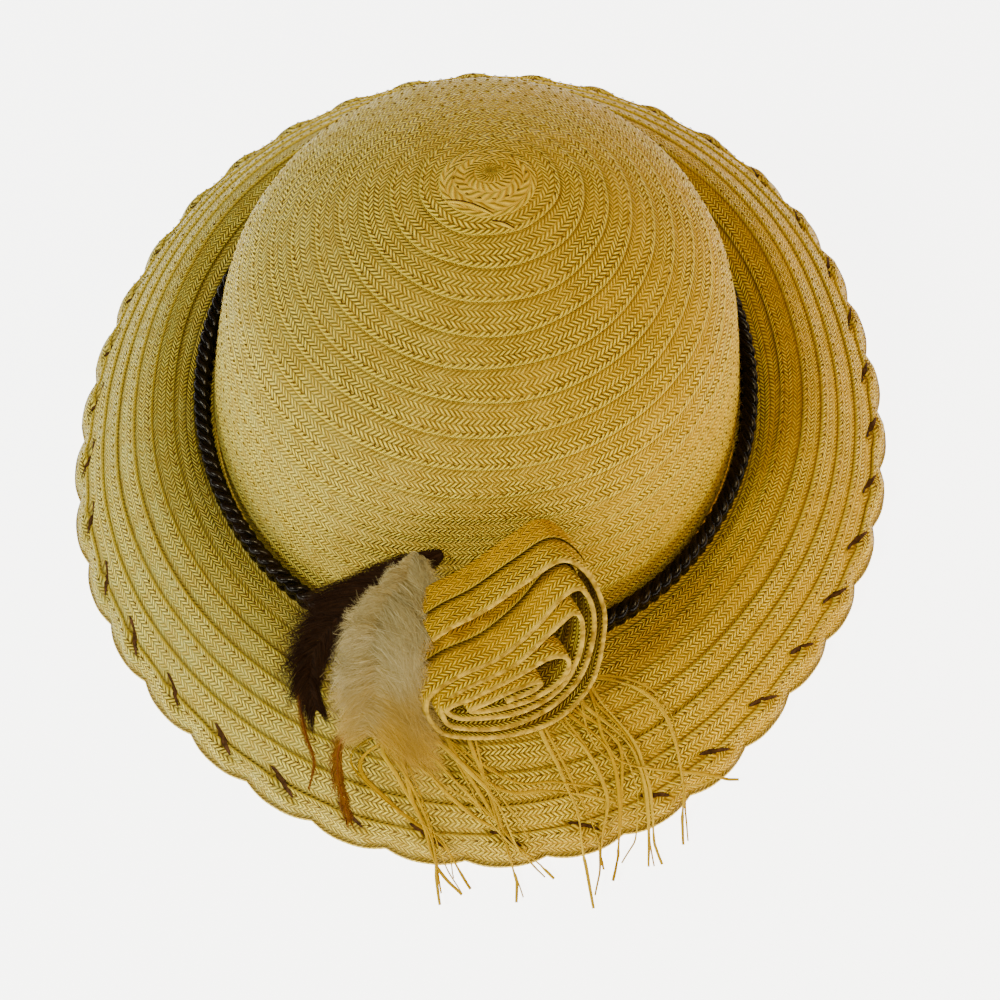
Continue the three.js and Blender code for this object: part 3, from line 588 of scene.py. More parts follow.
def fibre_material(name, root, tip, glow, spread, roughness=0.6, far=None):
    """Feather barbs and raffia: colour runs from the root to the tip, each with its own tone"""
    n = Nodes(name)
    uv = n.split(n.coords("UV"))
    where = n.coords("Object")
    tone = n.grain(n.math("FLOOR", uv[1]))
    color = n.mix(uv[0], root, tip)
    color = n.mix(n.math("MULTIPLY", tone, spread), color, glow)
    streak = n.noise(where, 700.0, 2.0)
    color = n.mix(n.ramp(streak, 0.4, 0.7, 0.0, 0.25), color, root)
    if far is not None:
        end = n.math("ADD", n.split(where)[1], n.math("MULTIPLY", n.noise(where, 90.0, 2.0), 0.02))
        color = n.mix(n.ramp(end, -0.094, -0.122, 0.0, 0.85), color, far)
    return n.finish(color, roughness, None, Specular_IOR_Level=DULL)


def plain_material(name, dark, light, scale, roughness):
    n = Nodes(name)
    speck = n.noise(n.coords("Object"), scale, 3.0)
    color = n.mix(n.ramp(speck, 0.3, 0.7), dark, light)
    return n.finish(color, roughness, None, Specular_IOR_Level=DULL)


# Painted light: the straw colour of the left side, as under cool light from the left
COOL_LIT_STRAW = (0.46, 0.48, 0.15)
GOLD = (0.76, 0.425, 0.0)
DEEP = (0.32, 0.145, 0.0)
crown_straw = straw_material("crown straw", COOL_LIT_STRAW, GOLD, DEEP, False)
brim_straw = straw_material("brim straw", COOL_LIT_STRAW, GOLD, DEEP, True)
rose_straw = straw_material("rosette straw", (0.76, 0.45, 0.0), (0.72, 0.38, 0.0), (0.26, 0.11, 0.0), False)
# Painted shade: a darker copy of the rosette straw for the inner faces of the coil, which lie in shadow
rose_shaded_straw = straw_material("rosette inside shade", (0.24, 0.14, 0.01), (0.26, 0.13, 0.0), (0.12, 0.05, 0.0), False)
rose_edge = plain_material("rosette edge", (0.20, 0.11, 0.005), (0.50, 0.33, 0.04), 420.0, 0.8)
inner_straw = straw_material("inner straw", COOL_LIT_STRAW, GOLD, DEEP, False)
fold_straw = plain_material("folded straw", (0.42, 0.27, 0.01), (0.62, 0.44, 0.05), 300.0, 0.6)
thread = plain_material("thread", (0.07, 0.035, 0.003), (0.17, 0.09, 0.01), 900.0, 0.7)
# Painted shade: dark colour standing for the shadow inside slits and seams
slit_shade = plain_material("slit", (0.030, 0.014, 0.005), (0.075, 0.032, 0.012), 700.0, 0.9)
leather = leather_material()
raffia = fibre_material(
    "raffia", root=(0.17, 0.08, 0.0), tip=(0.38, 0.22, 0.0), glow=(0.52, 0.36, 0.03),
    spread=0.7, roughness=0.7,
)
cream_barb = fibre_material(
    "cream barbs", root=(0.15, 0.105, 0.035), tip=(0.33, 0.255, 0.105), glow=(0.56, 0.48, 0.27),
    spread=0.7, roughness=0.8, far=(0.40, 0.23, 0.01),
)
dark_barb = fibre_material(
    "dark barbs", root=(0.004, 0.0016, 0.0010), tip=(0.012, 0.0045, 0.002), glow=(0.050, 0.020, 0.007),
    spread=0.45,
)
hackle_barb = fibre_material(
    "hackle barbs", root=(0.22, 0.10, 0.01), tip=(0.07, 0.016, 0.003), glow=(0.24, 0.07, 0.005),
    spread=0.5,
)


# Crown
CROWN_SEGMENTS = 480
crown_angles = np.arange(CROWN_SEGMENTS) / CROWN_SEGMENTS * TAU
crown_edges = np.arange(CROWN_FIRST_ROW, CROWN_RUN - BRAID_PITCH / 4, BRAID_PITCH)
crown_edges = np.r_[crown_edges, CROWN_RUN]


def straws_round(half_width, half_depth):
    return max(round(TAU * math.sqrt((half_width ** 2 + half_depth ** 2) / 2) / STRAW), 6)


def row_wave(angle, row):
    """Slow unevenness of the sewing, so that rows aren't perfect rings"""
    return 0.28 * np.sin(3 * angle + 1.7 * row) + 0.17 * np.sin(7 * angle + 2.9 * row)


def make_crown():
    shell = Shell()
    turn = np.arange(CROWN_SEGMENTS + 1) / CROWN_SEGMENTS
    top = 0.05
    for row, edge in enumerate(crown_edges):
        last = row == len(crown_edges) - 1
        proud = 0.0 if last else ROW_STEP
        v = np.array([0, 0.04, 0.12, 0.25, 0.4, 0.55, 0.7, 0.84, 0.93, 0.985])
        runs = top + v * (edge - top)
        lifts = proud * v ** ROW_SLOPE + ROW_PUFF * np.sin(np.pi * v)
        # The cut edge turns down and back under the row
        runs = np.r_[runs, edge, edge + 0.02, edge - 0.7]
        lifts = np.r_[lifts, proud * 0.93, proud * 0.12, -0.15]
        v = np.r_[v, 0.995, 0.999, 0.999]
        sway = row_wave(crown_angles, row) if row else TIP_SPREAD * (1.1 + np.cos(crown_angles - TIP_SIDE))
        wave = smooth_step(0.2, 0.9, v)[:, None] * sway[None]
        lower = row_wave(crown_angles, row - 1)[None] * (row > 1) * smooth_step(0.9, 0.2, v)[:, None]
        points = crown_point(runs[:, None] + wave + lower, crown_angles[None], lifts[:, None])
        middle = crown_profile(0.5 * (top + edge))
        count = straws_round(middle["width"], middle["depth"])
        shell.grid(points, turn[None] * count, (row + v)[:, None], wrap=True)
        top = edge if last else edge - ROW_TUCK
    return shell.build("crown_braid", crown_straw, "straw_crown")


def crown_place(x, y, lift):
    """Point of the crown surface above a place in plan"""
    low = 0.0
    high = CROWN_RUN
    for _ in range(30):
        run = 0.5 * (low + high)
        here = crown_profile(run)
        outside = ((x - here["x"]) / here["width"]) ** 2 + ((y - here["y"]) / here["depth"]) ** 2 > 1
        low, high = (run, high) if outside else (low, run)
    angle = math.atan2((y - here["y"]) / here["depth"], (x - here["x"]) / here["width"])
    return crown_point(run, angle, lift)


def make_tip_seams():
    """The dark line where the braid starts, painted shade in the slit there, with the pale fold beside it"""
    dark = Shell()
    fold = Shell()
    for line in TIP_SEAMS:
        path = [crown_place(CROWN_TIP[0] + x, CROWN_TIP[1] + y, 0.75) for x, y in line]
        path = curve_points(path, 24)
        size = np.sin(np.pi * np.linspace(0.04, 0.96, 24)) ** 0.5
        tube(dark, path, np.array([0.0, 1.0, 0.0]), 0.42 * size, 0.30 * size, sides=6)
        beside = path + np.array([0.0, -0.75, 0.05])
        tube(fold, beside, np.array([0.0, 1.0, 0.0]), 0.55 * size, 0.42 * size, sides=6)
    dark.build("tip_seam", slit_shade, "straw_crown")
    fold.build("tip_fold", fold_straw, "straw_crown")


def make_crown_inside():
    shell = Shell()
    turn = np.arange(CROWN_SEGMENTS // 2 + 1) / (CROWN_SEGMENTS // 2)
    angles = turn[:-1] * TAU
    top = 0.05
    for row, edge in enumerate(crown_edges):
        v = np.array([0, 0.3, 0.65, 0.99])
        lifts = -CROWN_WALL + 0.35 * (1 - v)
        points = crown_point((top + v * (edge - top))[:, None], angles[None], lifts[:, None])
        middle = crown_profile(0.5 * (top + edge))
        count = straws_round(middle["width"], middle["depth"])
        shell.grid(points, turn[None] * count, (row + v)[:, None], wrap=True, flip=True)
        top = edge
    rim = crown_point(np.full((3, 1), CROWN_RUN), angles[None], np.array([[0.0], [-0.9], [-CROWN_WALL]]))
    shell.grid(rim, turn[None] * 360, np.full((3, 1), 0.98), wrap=True)
    return shell.build("crown_inside", inner_straw, "straw_crown")


# Brim
BRIM_SEGMENTS = BRIM_SCALLOPS * 20
brim_angles = np.arange(BRIM_SEGMENTS) / BRIM_SEGMENTS * TAU + math.radians(SCALLOP_TURN)


def lacing(angle, share):
    """Lift of the brim surface where the edge braid is pulled through the slits"""
    width = brim_edge(angle) - brim_start(angle)
    inset = (1 - share) * width
    cell = 360 / BRIM_SCALLOPS
    phase = ((np.degrees(angle) - SCALLOP_TURN) / cell) % 1 - 0.5
    along = phase * np.radians(cell) * brim_edge(angle)
    line = SLIT_INSET - SLIT_SLANT * along
    away = inset - line
    window = np.clip(1 - (along / (GROOVE_REACH * SLIT_LENGTH)) ** 2, 0, 1)
    groove = -GROOVE_DEPTH * np.exp(-(away / GROOVE_WIDTH) ** 2) * window
    bow = np.sin(np.pi * np.clip(-away / ARCH_WIDTH, 0, 1)) ** 0.8
    arch = ARCH_LIFT * window * np.where(away < 0, bow, 0)
    pucker = PUCKER_LIFT * window * np.where(away > 0, np.exp(-away / PUCKER_WIDTH), 0)
    return groove + arch + pucker


def make_brim():
    shell = Shell()
    turn = np.arange(BRIM_SEGMENTS + 1) / BRIM_SEGMENTS
    headline = brim_point(brim_angles, 0.0, np.array([[-1.0], [-0.4]]))
    headline = headline - unit(headline * np.array([1, 1, 0])) * np.array([[[1.2]], [[0.0]]])
    shell.grid(headline, turn[None] * 360, np.full((2, 1), 0.5), wrap=True)
    for row in range(BRIM_ROWS):
        inner = row / BRIM_ROWS
        outer = (row + 1) / BRIM_ROWS
        last = row == BRIM_ROWS - 1
        steps = 17 if row >= BRIM_ROWS - 2 else 8
        v = np.r_[0.0, 0.02, np.linspace(0.06, 1, steps)]
        over = 0.0 if last else 0.14
        shares = inner + v * (1 + over) * (outer - inner)
        lifts = ROW_STEP * (1 - v) ** ROW_SLOPE + ROW_PUFF * np.sin(np.pi * v)
        lifts[0] = ROW_STEP * 0.9
        if row == 0:
            lifts = lifts * smooth_step(0, 0.3, v)
        shares = np.r_[inner + 0.012, inner - 0.0004, shares]
        lifts = np.r_[-0.2, 0.1, lifts]
        v = np.r_[0.001, 0.001, v]
        share = np.minimum(shares, 1.0)[:, None]
        wave = row_wave(brim_angles, row + 20)[None] / BRIM_WIDTH * (0 < row < BRIM_ROWS)
        wave = wave * np.where(v < 0.5, 1.0, 0.0)[:, None] * (row < BRIM_ROWS)
        notched = smooth_step(0.86, 1.0, share)
        lift = lifts[:, None] + lacing(brim_angles[None], share)
        lift = np.where(share > 0.985, np.minimum(lift, lifts[:, None] + 0.8), lift)
        points = brim_point(brim_angles[None], share + wave, lift, notched)
        radius = float(np.mean(brim_start(brim_angles) + 0.5 * (inner + outer) * BRIM_WIDTH))
        count = round(TAU * radius / STRAW)
        shell.grid(points, turn[None] * count, (row + v)[:, None], wrap=True)
    # The edge turns down to the floor and in under the brim
    edge = brim_point(brim_angles, 1.0, 0.0, 1.0)
    radial = unit(edge * np.array([1, 1, 0]))
    rings = [
        edge,
        edge * np.array([1, 1, 0.45]) + radial * 0.25,
        edge * np.array([1, 1, 0.0]),
        edge * np.array([1, 1, 0.0]) - radial * REST_LAND,
    ]
    for share in UNDER_SHARES:
        rings.append(brim_point(brim_angles, share, -BRIM_WALL + 0.1, 0.0))
    rings.append(brim_point(brim_angles, 0.0, 0.0, 0.0))
    v = np.r_[0.02, 0.02, 0.05, 0.2, (UNDER_SHARES * BRIM_ROWS) % 0.98, 0.92]
    shell.grid(np.stack(rings), turn[None] * 560, v[:, None], wrap=True)
    return shell.build("brim_braid", brim_straw, "straw_brim")


def lacing_frame(cell_index):
    centre = math.radians(SCALLOP_TURN + (cell_index + 0.5) * 360 / BRIM_SCALLOPS)
    return centre, float(brim_edge(centre)), float(brim_edge(centre) - brim_start(centre))


def make_slits():
    """Painted shade: dark sheets at the bottom of the lacing grooves, standing for the shadow inside the
    openings
    """
    shell = Shell()
    t = np.linspace(-1, 1, 15)
    for index in range(BRIM_SCALLOPS):
        centre, edge, width = lacing_frame(index)
        length = 0.5 * SLIT_LENGTH * rng.uniform(0.8, 1.0)
        along = t * length
        half = SLIT_HALF_WIDTH * rng.uniform(0.8, 1.15) * np.sqrt(np.clip(1 - t ** 2, 0, 1)) + 0.03
        lines = []
        for side in (-1, 0, 1):
            inset = SLIT_INSET - SLIT_SLANT * along + side * half
            share = 1 - inset / width
            angle = centre + along / edge
            drop = lacing(angle, 1 - (SLIT_INSET - SLIT_SLANT * along) / width)
            base = brim_row_lift(share)
            lines.append(brim_point(angle, share, base + drop + SLIT_LIFT + SLIT_RIDGE * (side == 0)))
        shell.grid(np.stack(lines), t[None], index + 0 * t[None], flip=True)
    return shell.build("brim_slits", slit_shade, "straw_brim")


def brim_row_lift(share):
    v = (np.asarray(share) * BRIM_ROWS) % 1
    return ROW_STEP * (1 - v) ** ROW_SLOPE + ROW_PUFF * np.sin(np.pi * v)


def dashes(shell, start, end, normal, thick):
    """Short stitches: flat six-sided dashes between pairs of points"""
    along = unit(end - start)
    side = unit(np.cross(normal, along))
    for k in range(len(start)):
        path = np.stack([
            start[k] - normal[k] * thick,
            start[k] * 0.75 + end[k] * 0.25 + normal[k] * thick * 0.6,
            start[k] * 0.25 + end[k] * 0.75 + normal[k] * thick * 0.6,
            end[k] - normal[k] * thick,
        ])
        tube(shell, path, side[k], [0.05, 0.26, 0.26, 0.05], [0.04, 0.18, 0.18, 0.04], sides=4)


def make_stitches():
    crown = Shell()
    for row, edge in enumerate(crown_edges[:-1]):
        here = crown_profile(edge)
        round_length = TAU * math.sqrt((float(here["width"]) ** 2 + float(here["depth"]) ** 2) / 2)
        count = int(round_length / STITCH_PITCH)
        angle = np.arange(count) / count * TAU + rng.uniform(0, 1)
        half = 0.5 * STITCH_LENGTH / (round_length / TAU)
        run = edge - STITCH_INSET + (row_wave(angle, row) if row else 0)
        lift = ROW_STEP * 0.90 + 0.1
        start = crown_point(run, angle - half, lift)
        end = crown_point(run + 0.12, angle + half, lift)
        normal = unit(crown_point(run, angle, lift + 1) - crown_point(run, angle, lift))
        dashes(crown, start, end, normal, 0.14)
    crown.build("crown_stitches", thread, "straw_crown")
    brim = Shell()
    for row in range(1, BRIM_ROWS):
        share = row / BRIM_ROWS + STITCH_INSET / BRIM_WIDTH
        radius = float(np.mean(brim_start(brim_angles) + share * BRIM_WIDTH))
        count = int(TAU * radius / STITCH_PITCH)
        angle = np.arange(count) / count * TAU + rng.uniform(0, 1)
        half = 0.5 * STITCH_LENGTH / radius
        shares = share + row_wave(angle, row + 20) / BRIM_WIDTH
        lift = brim_row_lift(share) + 0.05 + lacing(angle, shares)
        start = brim_point(angle - half, shares, lift)
        end = brim_point(angle + half, shares, lift)
        normal = unit(brim_point(angle, shares, lift + 1) - brim_point(angle, shares, lift))
        dashes(brim, start, end, normal, 0.14)
    brim.build("brim_stitches", thread, "straw_brim")


# Band
def make_band():
    shell = Shell()
    span = (ROW_STEP + BAND_THICKNESS) / BRIM_WIDTH
    centre_z = float(brim_height(0.0, span)) + PART_GAP + BAND_WIDTH / 2
    width = CROWN_HALF_WIDTH + PART_GAP + ROW_STEP + BAND_THICKNESS / 2
    depth = CROWN_HALF_DEPTH + PART_GAP + ROW_STEP + BAND_THICKNESS / 2
    round_length = TAU * math.sqrt((width ** 2 + depth ** 2) / 2)
    repeats = round(round_length / PLAIT_REPEAT)
    steps = repeats * 22
    t = np.arange(steps + 1) / steps
    angle = t * TAU
    centre = np.stack([
        CROWN_BASE[0] + width * np.cos(angle),
        CROWN_BASE[1] + depth * np.sin(angle),
        np.full(len(t), centre_z),
    ], axis=1)
    out = unit(np.stack([np.cos(angle) / width, np.sin(angle) / depth, 0 * angle], axis=1))
    up = np.array([0.0, 0.0, 1.0])
    tall = BAND_WIDTH / 2 - PLAIT_INSET_UP
    deep = BAND_THICKNESS / 2 - PLAIT_INSET_OUT
    for k in range(PLAIT_STRANDS):
        weave = repeats * angle + k * TAU / PLAIT_STRANDS
        path = centre + up * (tall * np.sin(weave))[:, None] + out * (deep * np.sin(2 * weave))[:, None]
        tube(shell, path, up, PLAIT_HALF_WIDTH, PLAIT_HALF_THICKNESS, sides=8, tag=k)
    core = []
    for a, b in ((1, 1), (-1, 1), (-1, -1), (1, -1), (1, 1)):
        core.append(centre + out * a * CORE_HALF_THICKNESS + up * b * CORE_HALF_WIDTH)
    shell.grid(np.stack(core)[:, :-1], t[None], np.full((5, 1), 0.5), wrap=True)
    return shell.build("band_plait", leather, "band_leather")


# Rosette
class Coil:
    """The rolled strip: its front rim, and how each place on it leans back"""

    def __init__(self, steps):
        rows = np.array(ROSE_RIM) * np.array([ROSE_HALF_WIDTH, ROSE_HALF_HEIGHT, 1])
        self.rim = curve_points(rows, steps)
        ahead = unit(np.gradient(self.rim[:, :2], axis=0))
        self.inward = np.stack([ahead[:, 1], -ahead[:, 0]], axis=1)
        self.aside = ROSE_LEAN * self.rim[:, 2]
        self.deep = np.sqrt(ROSE_RIBBON ** 2 - self.aside ** 2)
        self.rise = ROSE_RISE * np.linspace(0, 1, steps)
        steps_long = np.linalg.norm(np.diff(self.rim[:, :2], axis=0), axis=1)
        self.length = np.r_[0, np.cumsum(steps_long)] / STRAW
        self.flat = unit(np.cross(np.array([0.0, 0.0, 1.0]), ROSE_AXIS))
        self.tall = np.cross(ROSE_AXIS, self.flat)
        self.seat = np.array([
            CROWN_BASE[0] + ROSE_SEAT["side"],
            CROWN_BASE[1] - CROWN_HALF_DEPTH + ROSE_SEAT["inset"],
            CROWN_FOOT + ROSE_SEAT["rise"],
        ])

    def place(self, within, back, part=slice(None)):
        """within is the depth into the strip, back runs from the rim, 0, to the back edge, 1"""
        turn = math.radians(ROSE_LEAN_TURN)
        aside = self.aside[part, None] * back
        x = self.rim[part, 0, None] + within * self.inward[part, 0, None] + aside * math.cos(turn)
        y = self.rim[part, 1, None] + within * self.inward[part, 1, None] + aside * math.sin(turn)
        z = ROSE_RIBBON + self.rise[part, None] - back * self.deep[part, None]
        return (self.seat + x[..., None] * self.flat + y[..., None] * self.tall
                + z[..., None] * ROSE_AXIS)


def make_rosette():
    shell = Shell()
    inner = Shell()
    coil = Coil(1100)
    length = coil.length[:, None]
    rows = 2
    for row in range(rows):
        v = np.array([0, 0.05, 0.16, 0.33, 0.5, 0.67, 0.84, 0.95, 1])
        back = 1 - (row + v) / rows
        bulge = 0.34 * np.sin(np.pi * v) + 0.45 * v * (row == 0)
        hollow = 0.2 * np.sin(np.pi * v)
        shell.grid(coil.place(-bulge[None], back[None]), length, (row + v)[None], flip=True)
        inner.grid(coil.place(ROSE_WALL - hollow[None], back[None]), length, (row + v)[None])
    behind = coil.place(np.array([[ROSE_WALL, 0.0]]), np.ones((1, 2)))
    shell.grid(behind, length, np.full((1, 2), 0.5), flip=True)
    strip = shell.build("rosette_strip", rose_straw, "straw_rosette")
    # The inner faces get the darker straw, a painted shade
    inner.build("rosette_inside", rose_shaded_straw, "straw_rosette")
    # The folded edge of the strip, a pale cord along the front rim
    edge = Shell()
    turn = np.linspace(-0.15, 1.15, 9) * np.pi
    within = ROSE_WALL / 2 - (ROSE_WALL / 2 + 0.05) * np.cos(turn)
    back = 0.006 - 0.028 * np.sin(turn)
    edge.grid(coil.place(within[None], back[None]), length, (turn / np.pi)[None], flip=True)
    for end in (slice(0, 1), slice(-1, None)):
        across = np.linspace(0, 1, 9)
        cap = np.concatenate([
            coil.place(np.zeros((1, 9)), across[None], end),
            coil.place(np.full((1, 9), ROSE_WALL), across[None], end),
        ])
        edge.grid(cap, across[None], np.full((2, 9), 0.5), flip=end.start != 0)
    edge.build("rosette_edge", rose_edge, "straw_rosette")
    return strip


# Feathers
def feather_path(feather, root):
    rows = np.array(feather["rows"])
    offset = rows[:, :3] * feather["length"] * np.array([1, -1, 1])
    return np.asarray(root) + offset, rows[:, 3] * feather["vane"], rows[:, 4] * feather["vane"]


def add_barbs(shell, path, left, right, count, lean, curl, wide, droop, fluff, clumps=70, scatter=0.0):
    """Tapering barbs along both sides of a quill, as flat strips gathered into tufts"""
    steps = 6
    fine = curve_points(path, 120)
    along = unit(np.gradient(fine, axis=0))
    view = unit(np.array([0.0, -0.43, 0.90]))
    share = rng.uniform(0, 1, count) ** 0.9
    at = np.clip((share * 119).astype(int), 0, 119)
    hand = np.where(rng.uniform(size=count) < 0.5, -1.0, 1.0)
    tuft = (share * clumps).astype(int) * 2 + (hand > 0)
    tuft_size = rng.uniform(0.72, 1.12, 2 * clumps + 2)[tuft]
    tuft_bend = rng.normal(0, 1, 2 * clumps + 2)[tuft]
    tuft_rise = rng.uniform(-0.5, 1, 2 * clumps + 2)[tuft]
    places = np.linspace(0, 1, len(left))
    reach = np.where(hand > 0, np.interp(share, places, left), np.interp(share, places, right))
    reach = reach * tuft_size * rng.uniform(0.6, 1.12, count)
    tangent = along[at]
    side = unit(np.cross(tangent, view)) * hand[:, None]
    raise_up = unit(view + rng.normal(0, fluff, (count, 3)))
    u = np.linspace(0, 1, steps)
    forward = (lean * reach * rng.uniform(0.7, 1.3, count))[:, None] * (u ** 1.3)[None]
    aside = scatter * rng.uniform(-0.5, 1, count) * reach
    outward = aside[:, None] + (reach - aside)[:, None] * (u ** 0.85)[None]
    lifted = fluff * (0.6 + 0.8 * tuft_rise)[:, None] * np.sin(np.pi * 0.8 * u)[None] - droop * (u ** 2)[None]
    height = reach[:, None] * lifted
    bend = (curl * (0.7 * tuft_bend + 0.6 * rng.normal(0, 1, count)) * reach)[:, None] * (u ** 2)[None]
    onward = forward + bend
    points = (fine[at][:, None] + side[:, None] * outward[..., None]
              + tangent[:, None] * onward[..., None] + raise_up[:, None] * height[..., None])
    across = unit(np.cross(side, view) + rng.normal(0, 0.25, (count, 3)))
    half = wide * (1 - 0.85 * u ** 1.5)
    strips = np.stack([
        points + across[:, None] * half[None, :, None],
        points - across[:, None] * half[None, :, None],
    ], axis=2)
    for k in range(count):
        shell.grid(strips[k], np.repeat(u[:, None], 2, axis=1), np.full((steps, 2), k + 0.5))


def quill_tube(shell, path, thick):
    fine = curve_points(path, 30)
    taper = thick * (1 - 0.75 * np.linspace(0, 1, 30))
    tube(shell, fine, np.array([1.0, 0.0, 0.0]), taper, taper, sides=6)


def crown_seat(root):
    run, degrees, stand = root
    return crown_point(run * CROWN_RUN, math.radians(degrees), stand)


def make_feathers():
    fewer = 1
    dark_path, left, right = feather_path(DARK_FEATHER, crown_seat(DARK_FEATHER["root"]))
    dark = Shell()
    quill_tube(dark, dark_path, 0.7)
    add_barbs(
        dark, dark_path, left * 1.3 + 1.6, right * 1.2 + 1.2, 10000 // fewer,
        lean=2.0, curl=0.45, wide=0.12, droop=0.10, fluff=0.26, clumps=40, scatter=0.4,
    )
    dark = dark.build("dark_barbs", dark_barb, "feather_dark")
    cream_path, left, right = feather_path(CREAM_FEATHER, crown_seat(CREAM_FEATHER["root"]))
    hackle_root = curve_points(cream_path, 101)[int(HACKLE_ROOT * 100)]
    cream = Shell()
    quill_tube(cream, cream_path - np.array([0, 0, 0.8]), 0.3)
    # The vane ends short of the quill's tip, because its barbs lean past it
    cream_path = cream_path[:6]
    left = left[:6] * 0.85
    right = np.array([7.0, 17.0, 16.0, 17.0, 22.0, 20.0])
    add_barbs(
        cream, cream_path, left, right, 9000 // fewer,
        lean=0.5, curl=0.45, wide=0.085, droop=0.10, fluff=0.22, clumps=16, scatter=0.5,
    )
    add_barbs(
        cream, cream_path, left * 0.8, right * 0.75, 10000 // fewer,
        lean=0.8, curl=0.50, wide=0.08, droop=0.0, fluff=0.42, clumps=24, scatter=0.9,
    )
    cream = cream.build("cream_barbs", cream_barb, "feather_cream")
    root = hackle_root - np.array([0, 0, 2 * QUILL + PART_GAP])
    path, left, right = feather_path(HACKLE_FEATHER, root)
    hackle = Shell()
    quill_tube(hackle, path, 0.7)
    add_barbs(
        hackle, path, left * 1.3, right * 1.3, 1400 // fewer,
        lean=3.4, curl=0.4, wide=0.16, droop=0.1, fluff=0.2, scatter=0.5,
    )
    wisp = np.vstack([dark_path[5:6], WISP])
    quill_tube(hackle, wisp, 0.6)
    slim = np.array([0.9, 1.2, 1.2, 1.0, 0.7, 0.4])
    add_barbs(
        hackle, wisp, slim, slim, 900 // fewer,
        lean=4.0, curl=0.4, wide=0.14, droop=0.1, fluff=0.2, scatter=0.5,
    )
    hackle = hackle.build("hackle_barbs", hackle_barb, "feather_brown")
    return dark, cream, hackle


# Fringe
def brim_plan(degrees, reach):
    angle = math.radians(degrees)
    start = float(brim_start(angle))
    radius = start + reach * (float(brim_edge(angle)) - start)
    return np.array([radius * math.cos(angle), radius * math.sin(angle)])


def make_fringe():
    shell = Shell()
    knot_lift = FRINGE_KNOT / 2 + PART_GAP
    knot = []
    for degrees, reach in KNOT_PATH:
        x, y = brim_plan(degrees, reach)
        knot.append([x, y, float(brim_top_at(x, y)) + knot_lift])
    knot = curve_points(knot, 60)
    tube(shell, knot, np.array([0, 0, 1.0]), 1.5, 1.3, sides=8)
    knot_angle = np.degrees(np.arctan2(knot[:, 1], knot[:, 0])) % 360
    strands = [(row, 1.0) for row in STRAND_PATHS]
    for row in STRAND_PATHS:
        side = rng.normal(0, 1.3)
        moved = [
            (angle + side * reach + rng.normal(0, 0.5), reach * rng.uniform(0.92, 1.0))
            for angle, reach in row
        ]
        strands.append((moved, rng.uniform(0.4, 0.75)))
    for tag, (row, size) in enumerate(strands):
        root = knot[np.argmin(np.abs(knot_angle - row[0][0]))]
        plan = np.array([root[:2]] + [brim_plan(angle, reach) for angle, reach in row])
        plan = curve_points(np.c_[plan, np.zeros(len(plan))], STRAND_STEPS)[:, :2]
        u = np.linspace(0, 1, STRAND_STEPS)
        phase = rng.uniform(0, TAU)
        kink = np.interp(u, np.linspace(0, 1, 9), rng.normal(0, 0.55, 9)) * u
        plan = plan + np.stack([kink, 0.3 * kink], axis=1)
        tip_lift = 1.3 + 1.6 * rng.uniform()
        z = brim_top_at(plan[:, 0], plan[:, 1]) + knot_lift + (tip_lift - knot_lift) * np.sin(u * np.pi / 2)
        z = z + 0.5 * np.sin(9 * u + phase) * u
        path = np.c_[plan, np.maximum(z, 0.9)]
        twist = phase + 3.5 * u
        across = np.stack([np.cos(twist), np.sin(twist), 0.25 * np.sin(2 * twist)], axis=1)
        taper = size * (1 - 0.4 * u ** 3)
        tube(shell, path, across, 0.46 * STRAND * taper, 0.34 * taper, sides=6, tag=tag + 0.02)
    return shell.build("raffia_strands", raffia, "raffia")


crown = make_crown()
make_crown_inside()
make_tip_seams()
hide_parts("crown")
brim = make_brim()
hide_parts("brim")
make_slits()
make_stitches()
band = make_band()
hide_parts("hat_band")
rosette = make_rosette()
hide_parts("rosette")
dark, cream, hackle = make_feathers()
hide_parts("dark_feather")
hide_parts("cream_feather")
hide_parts("hackle_feather")
fringe = make_fringe()
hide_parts("raffia_fringe")

# Floor, lights and camera, in metres
FLOOR_HALF = 4
LIGHT_TARGET = (0, 0, 0.05)
LIGHTS = [
    {"name": "key", "place": (-0.85, -0.45, 0.95), "size": 0.3, "power": 12.8, "color": (0.95, 1.0, 0.88)},
    {"name": "warm", "place": (0.95, -0.10, 0.75), "size": 0.5, "power": 4.8, "color": (1.0, 0.58, 0.12)},
    {"name": "top", "place": (0.10, -0.50, 1.35), "size": 0.4, "power": 15.0, "color": (1.0, 0.88, 0.50)},
]
WORLD_COLOR = (1.0, 0.90, 0.60, 1)
WORLD_STRENGTH = 0.10
SENSOR_WIDTH = 36.0
PICTURE_WIDTH = 1000       # pixels
FOCAL_LENGTH = 1715.45     # pixels of that picture

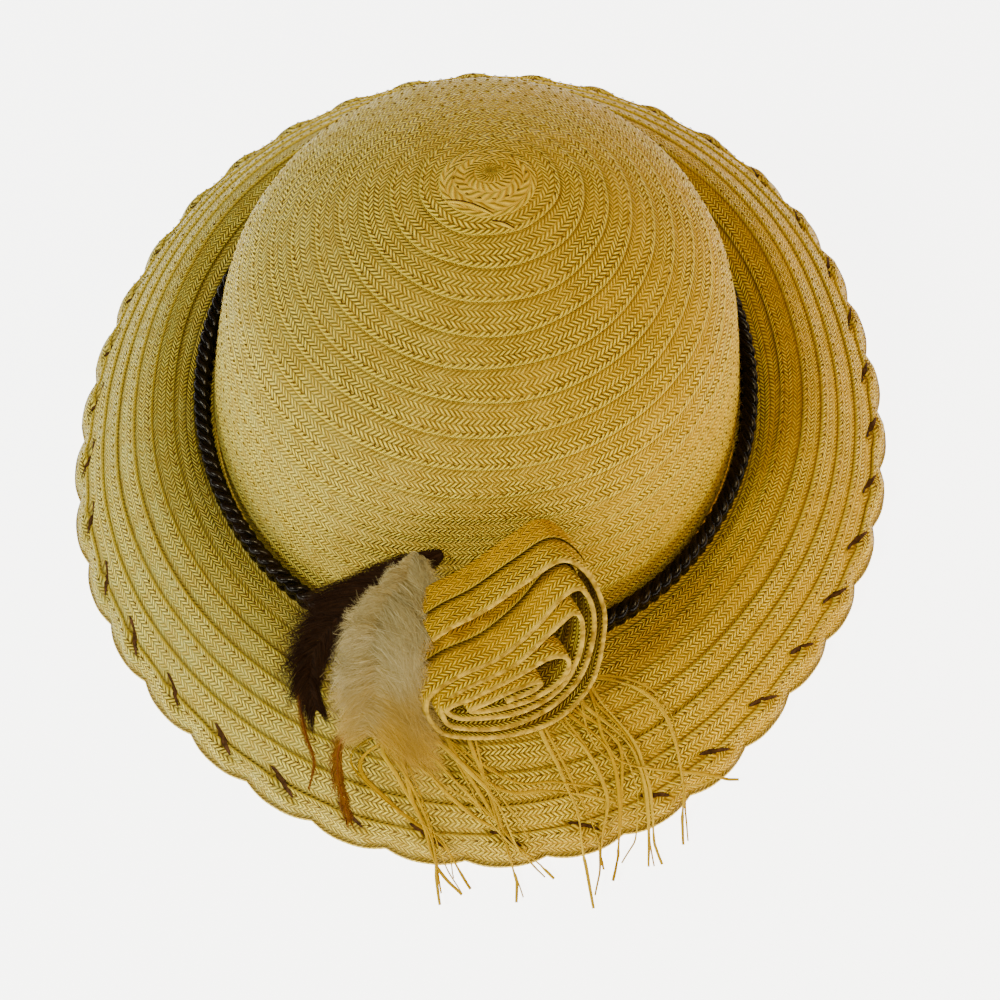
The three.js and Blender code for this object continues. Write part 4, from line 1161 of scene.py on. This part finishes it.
floor_mesh = bpy.data.meshes.new("floor")
floor_corners = [(x * FLOOR_HALF, y * FLOOR_HALF, 0) for x, y in ((-1, -1), (1, -1), (1, 1), (-1, 1))]
floor_mesh.from_pydata(floor_corners, [], [(0, 1, 2, 3)])
floor = bpy.data.objects.new("floor", floor_mesh)
bpy.context.scene.collection.objects.link(floor)
floor_nodes = Nodes("pale floor")
floor_mesh.materials.append(floor_nodes.finish(
    (0.80, 0.80, 0.80), 0.8, None, Emission_Color=(0.97, 0.98, 1, 1), Emission_Strength=5.5,
))

for row in LIGHTS:
    light = bpy.data.lights.new(row["name"], "AREA")
    light.shape = "DISK"
    light.size = row["size"]
    light.energy = row["power"]
    light.color = row["color"]
    lamp = bpy.data.objects.new(row["name"], light)
    lamp.location = row["place"]
    aim = Vector(LIGHT_TARGET) - Vector(row["place"])
    lamp.rotation_euler = aim.to_track_quat("-Z", "Y").to_euler()
    bpy.context.scene.collection.objects.link(lamp)

world = bpy.data.worlds.new("studio")
world.use_nodes = True
world.node_tree.nodes["Background"].inputs["Color"].default_value = WORLD_COLOR
world.node_tree.nodes["Background"].inputs["Strength"].default_value = WORLD_STRENGTH
bpy.context.scene.world = world

camera_data = bpy.data.cameras.new("camera")
camera_data.sensor_fit = "HORIZONTAL"
camera_data.sensor_width = SENSOR_WIDTH
camera_data.lens = SENSOR_WIDTH * FOCAL_LENGTH / PICTURE_WIDTH
camera_data.clip_start = 0.05
camera_data.clip_end = 20.0
camera = bpy.data.objects.new("camera", camera_data)
eye = (np.array([0.0, -294.97, 553.27]) + SHIFT) / 1000
right = Vector((0.99986968, -0.01614411, 0.0))
upward = Vector((0.01455344, 0.90135287, 0.43284085))
ahead = Vector((0.00698783, 0.43278444, -0.90147036))
camera.matrix_world = Matrix((
    (right.x, upward.x, -ahead.x, eye[0]),
    (right.y, upward.y, -ahead.y, eye[1]),
    (right.z, upward.z, -ahead.z, eye[2]),
    (0, 0, 0, 1),
))
bpy.context.scene.collection.objects.link(camera)
bpy.context.scene.camera = camera


bpy.context.view_layer.update()
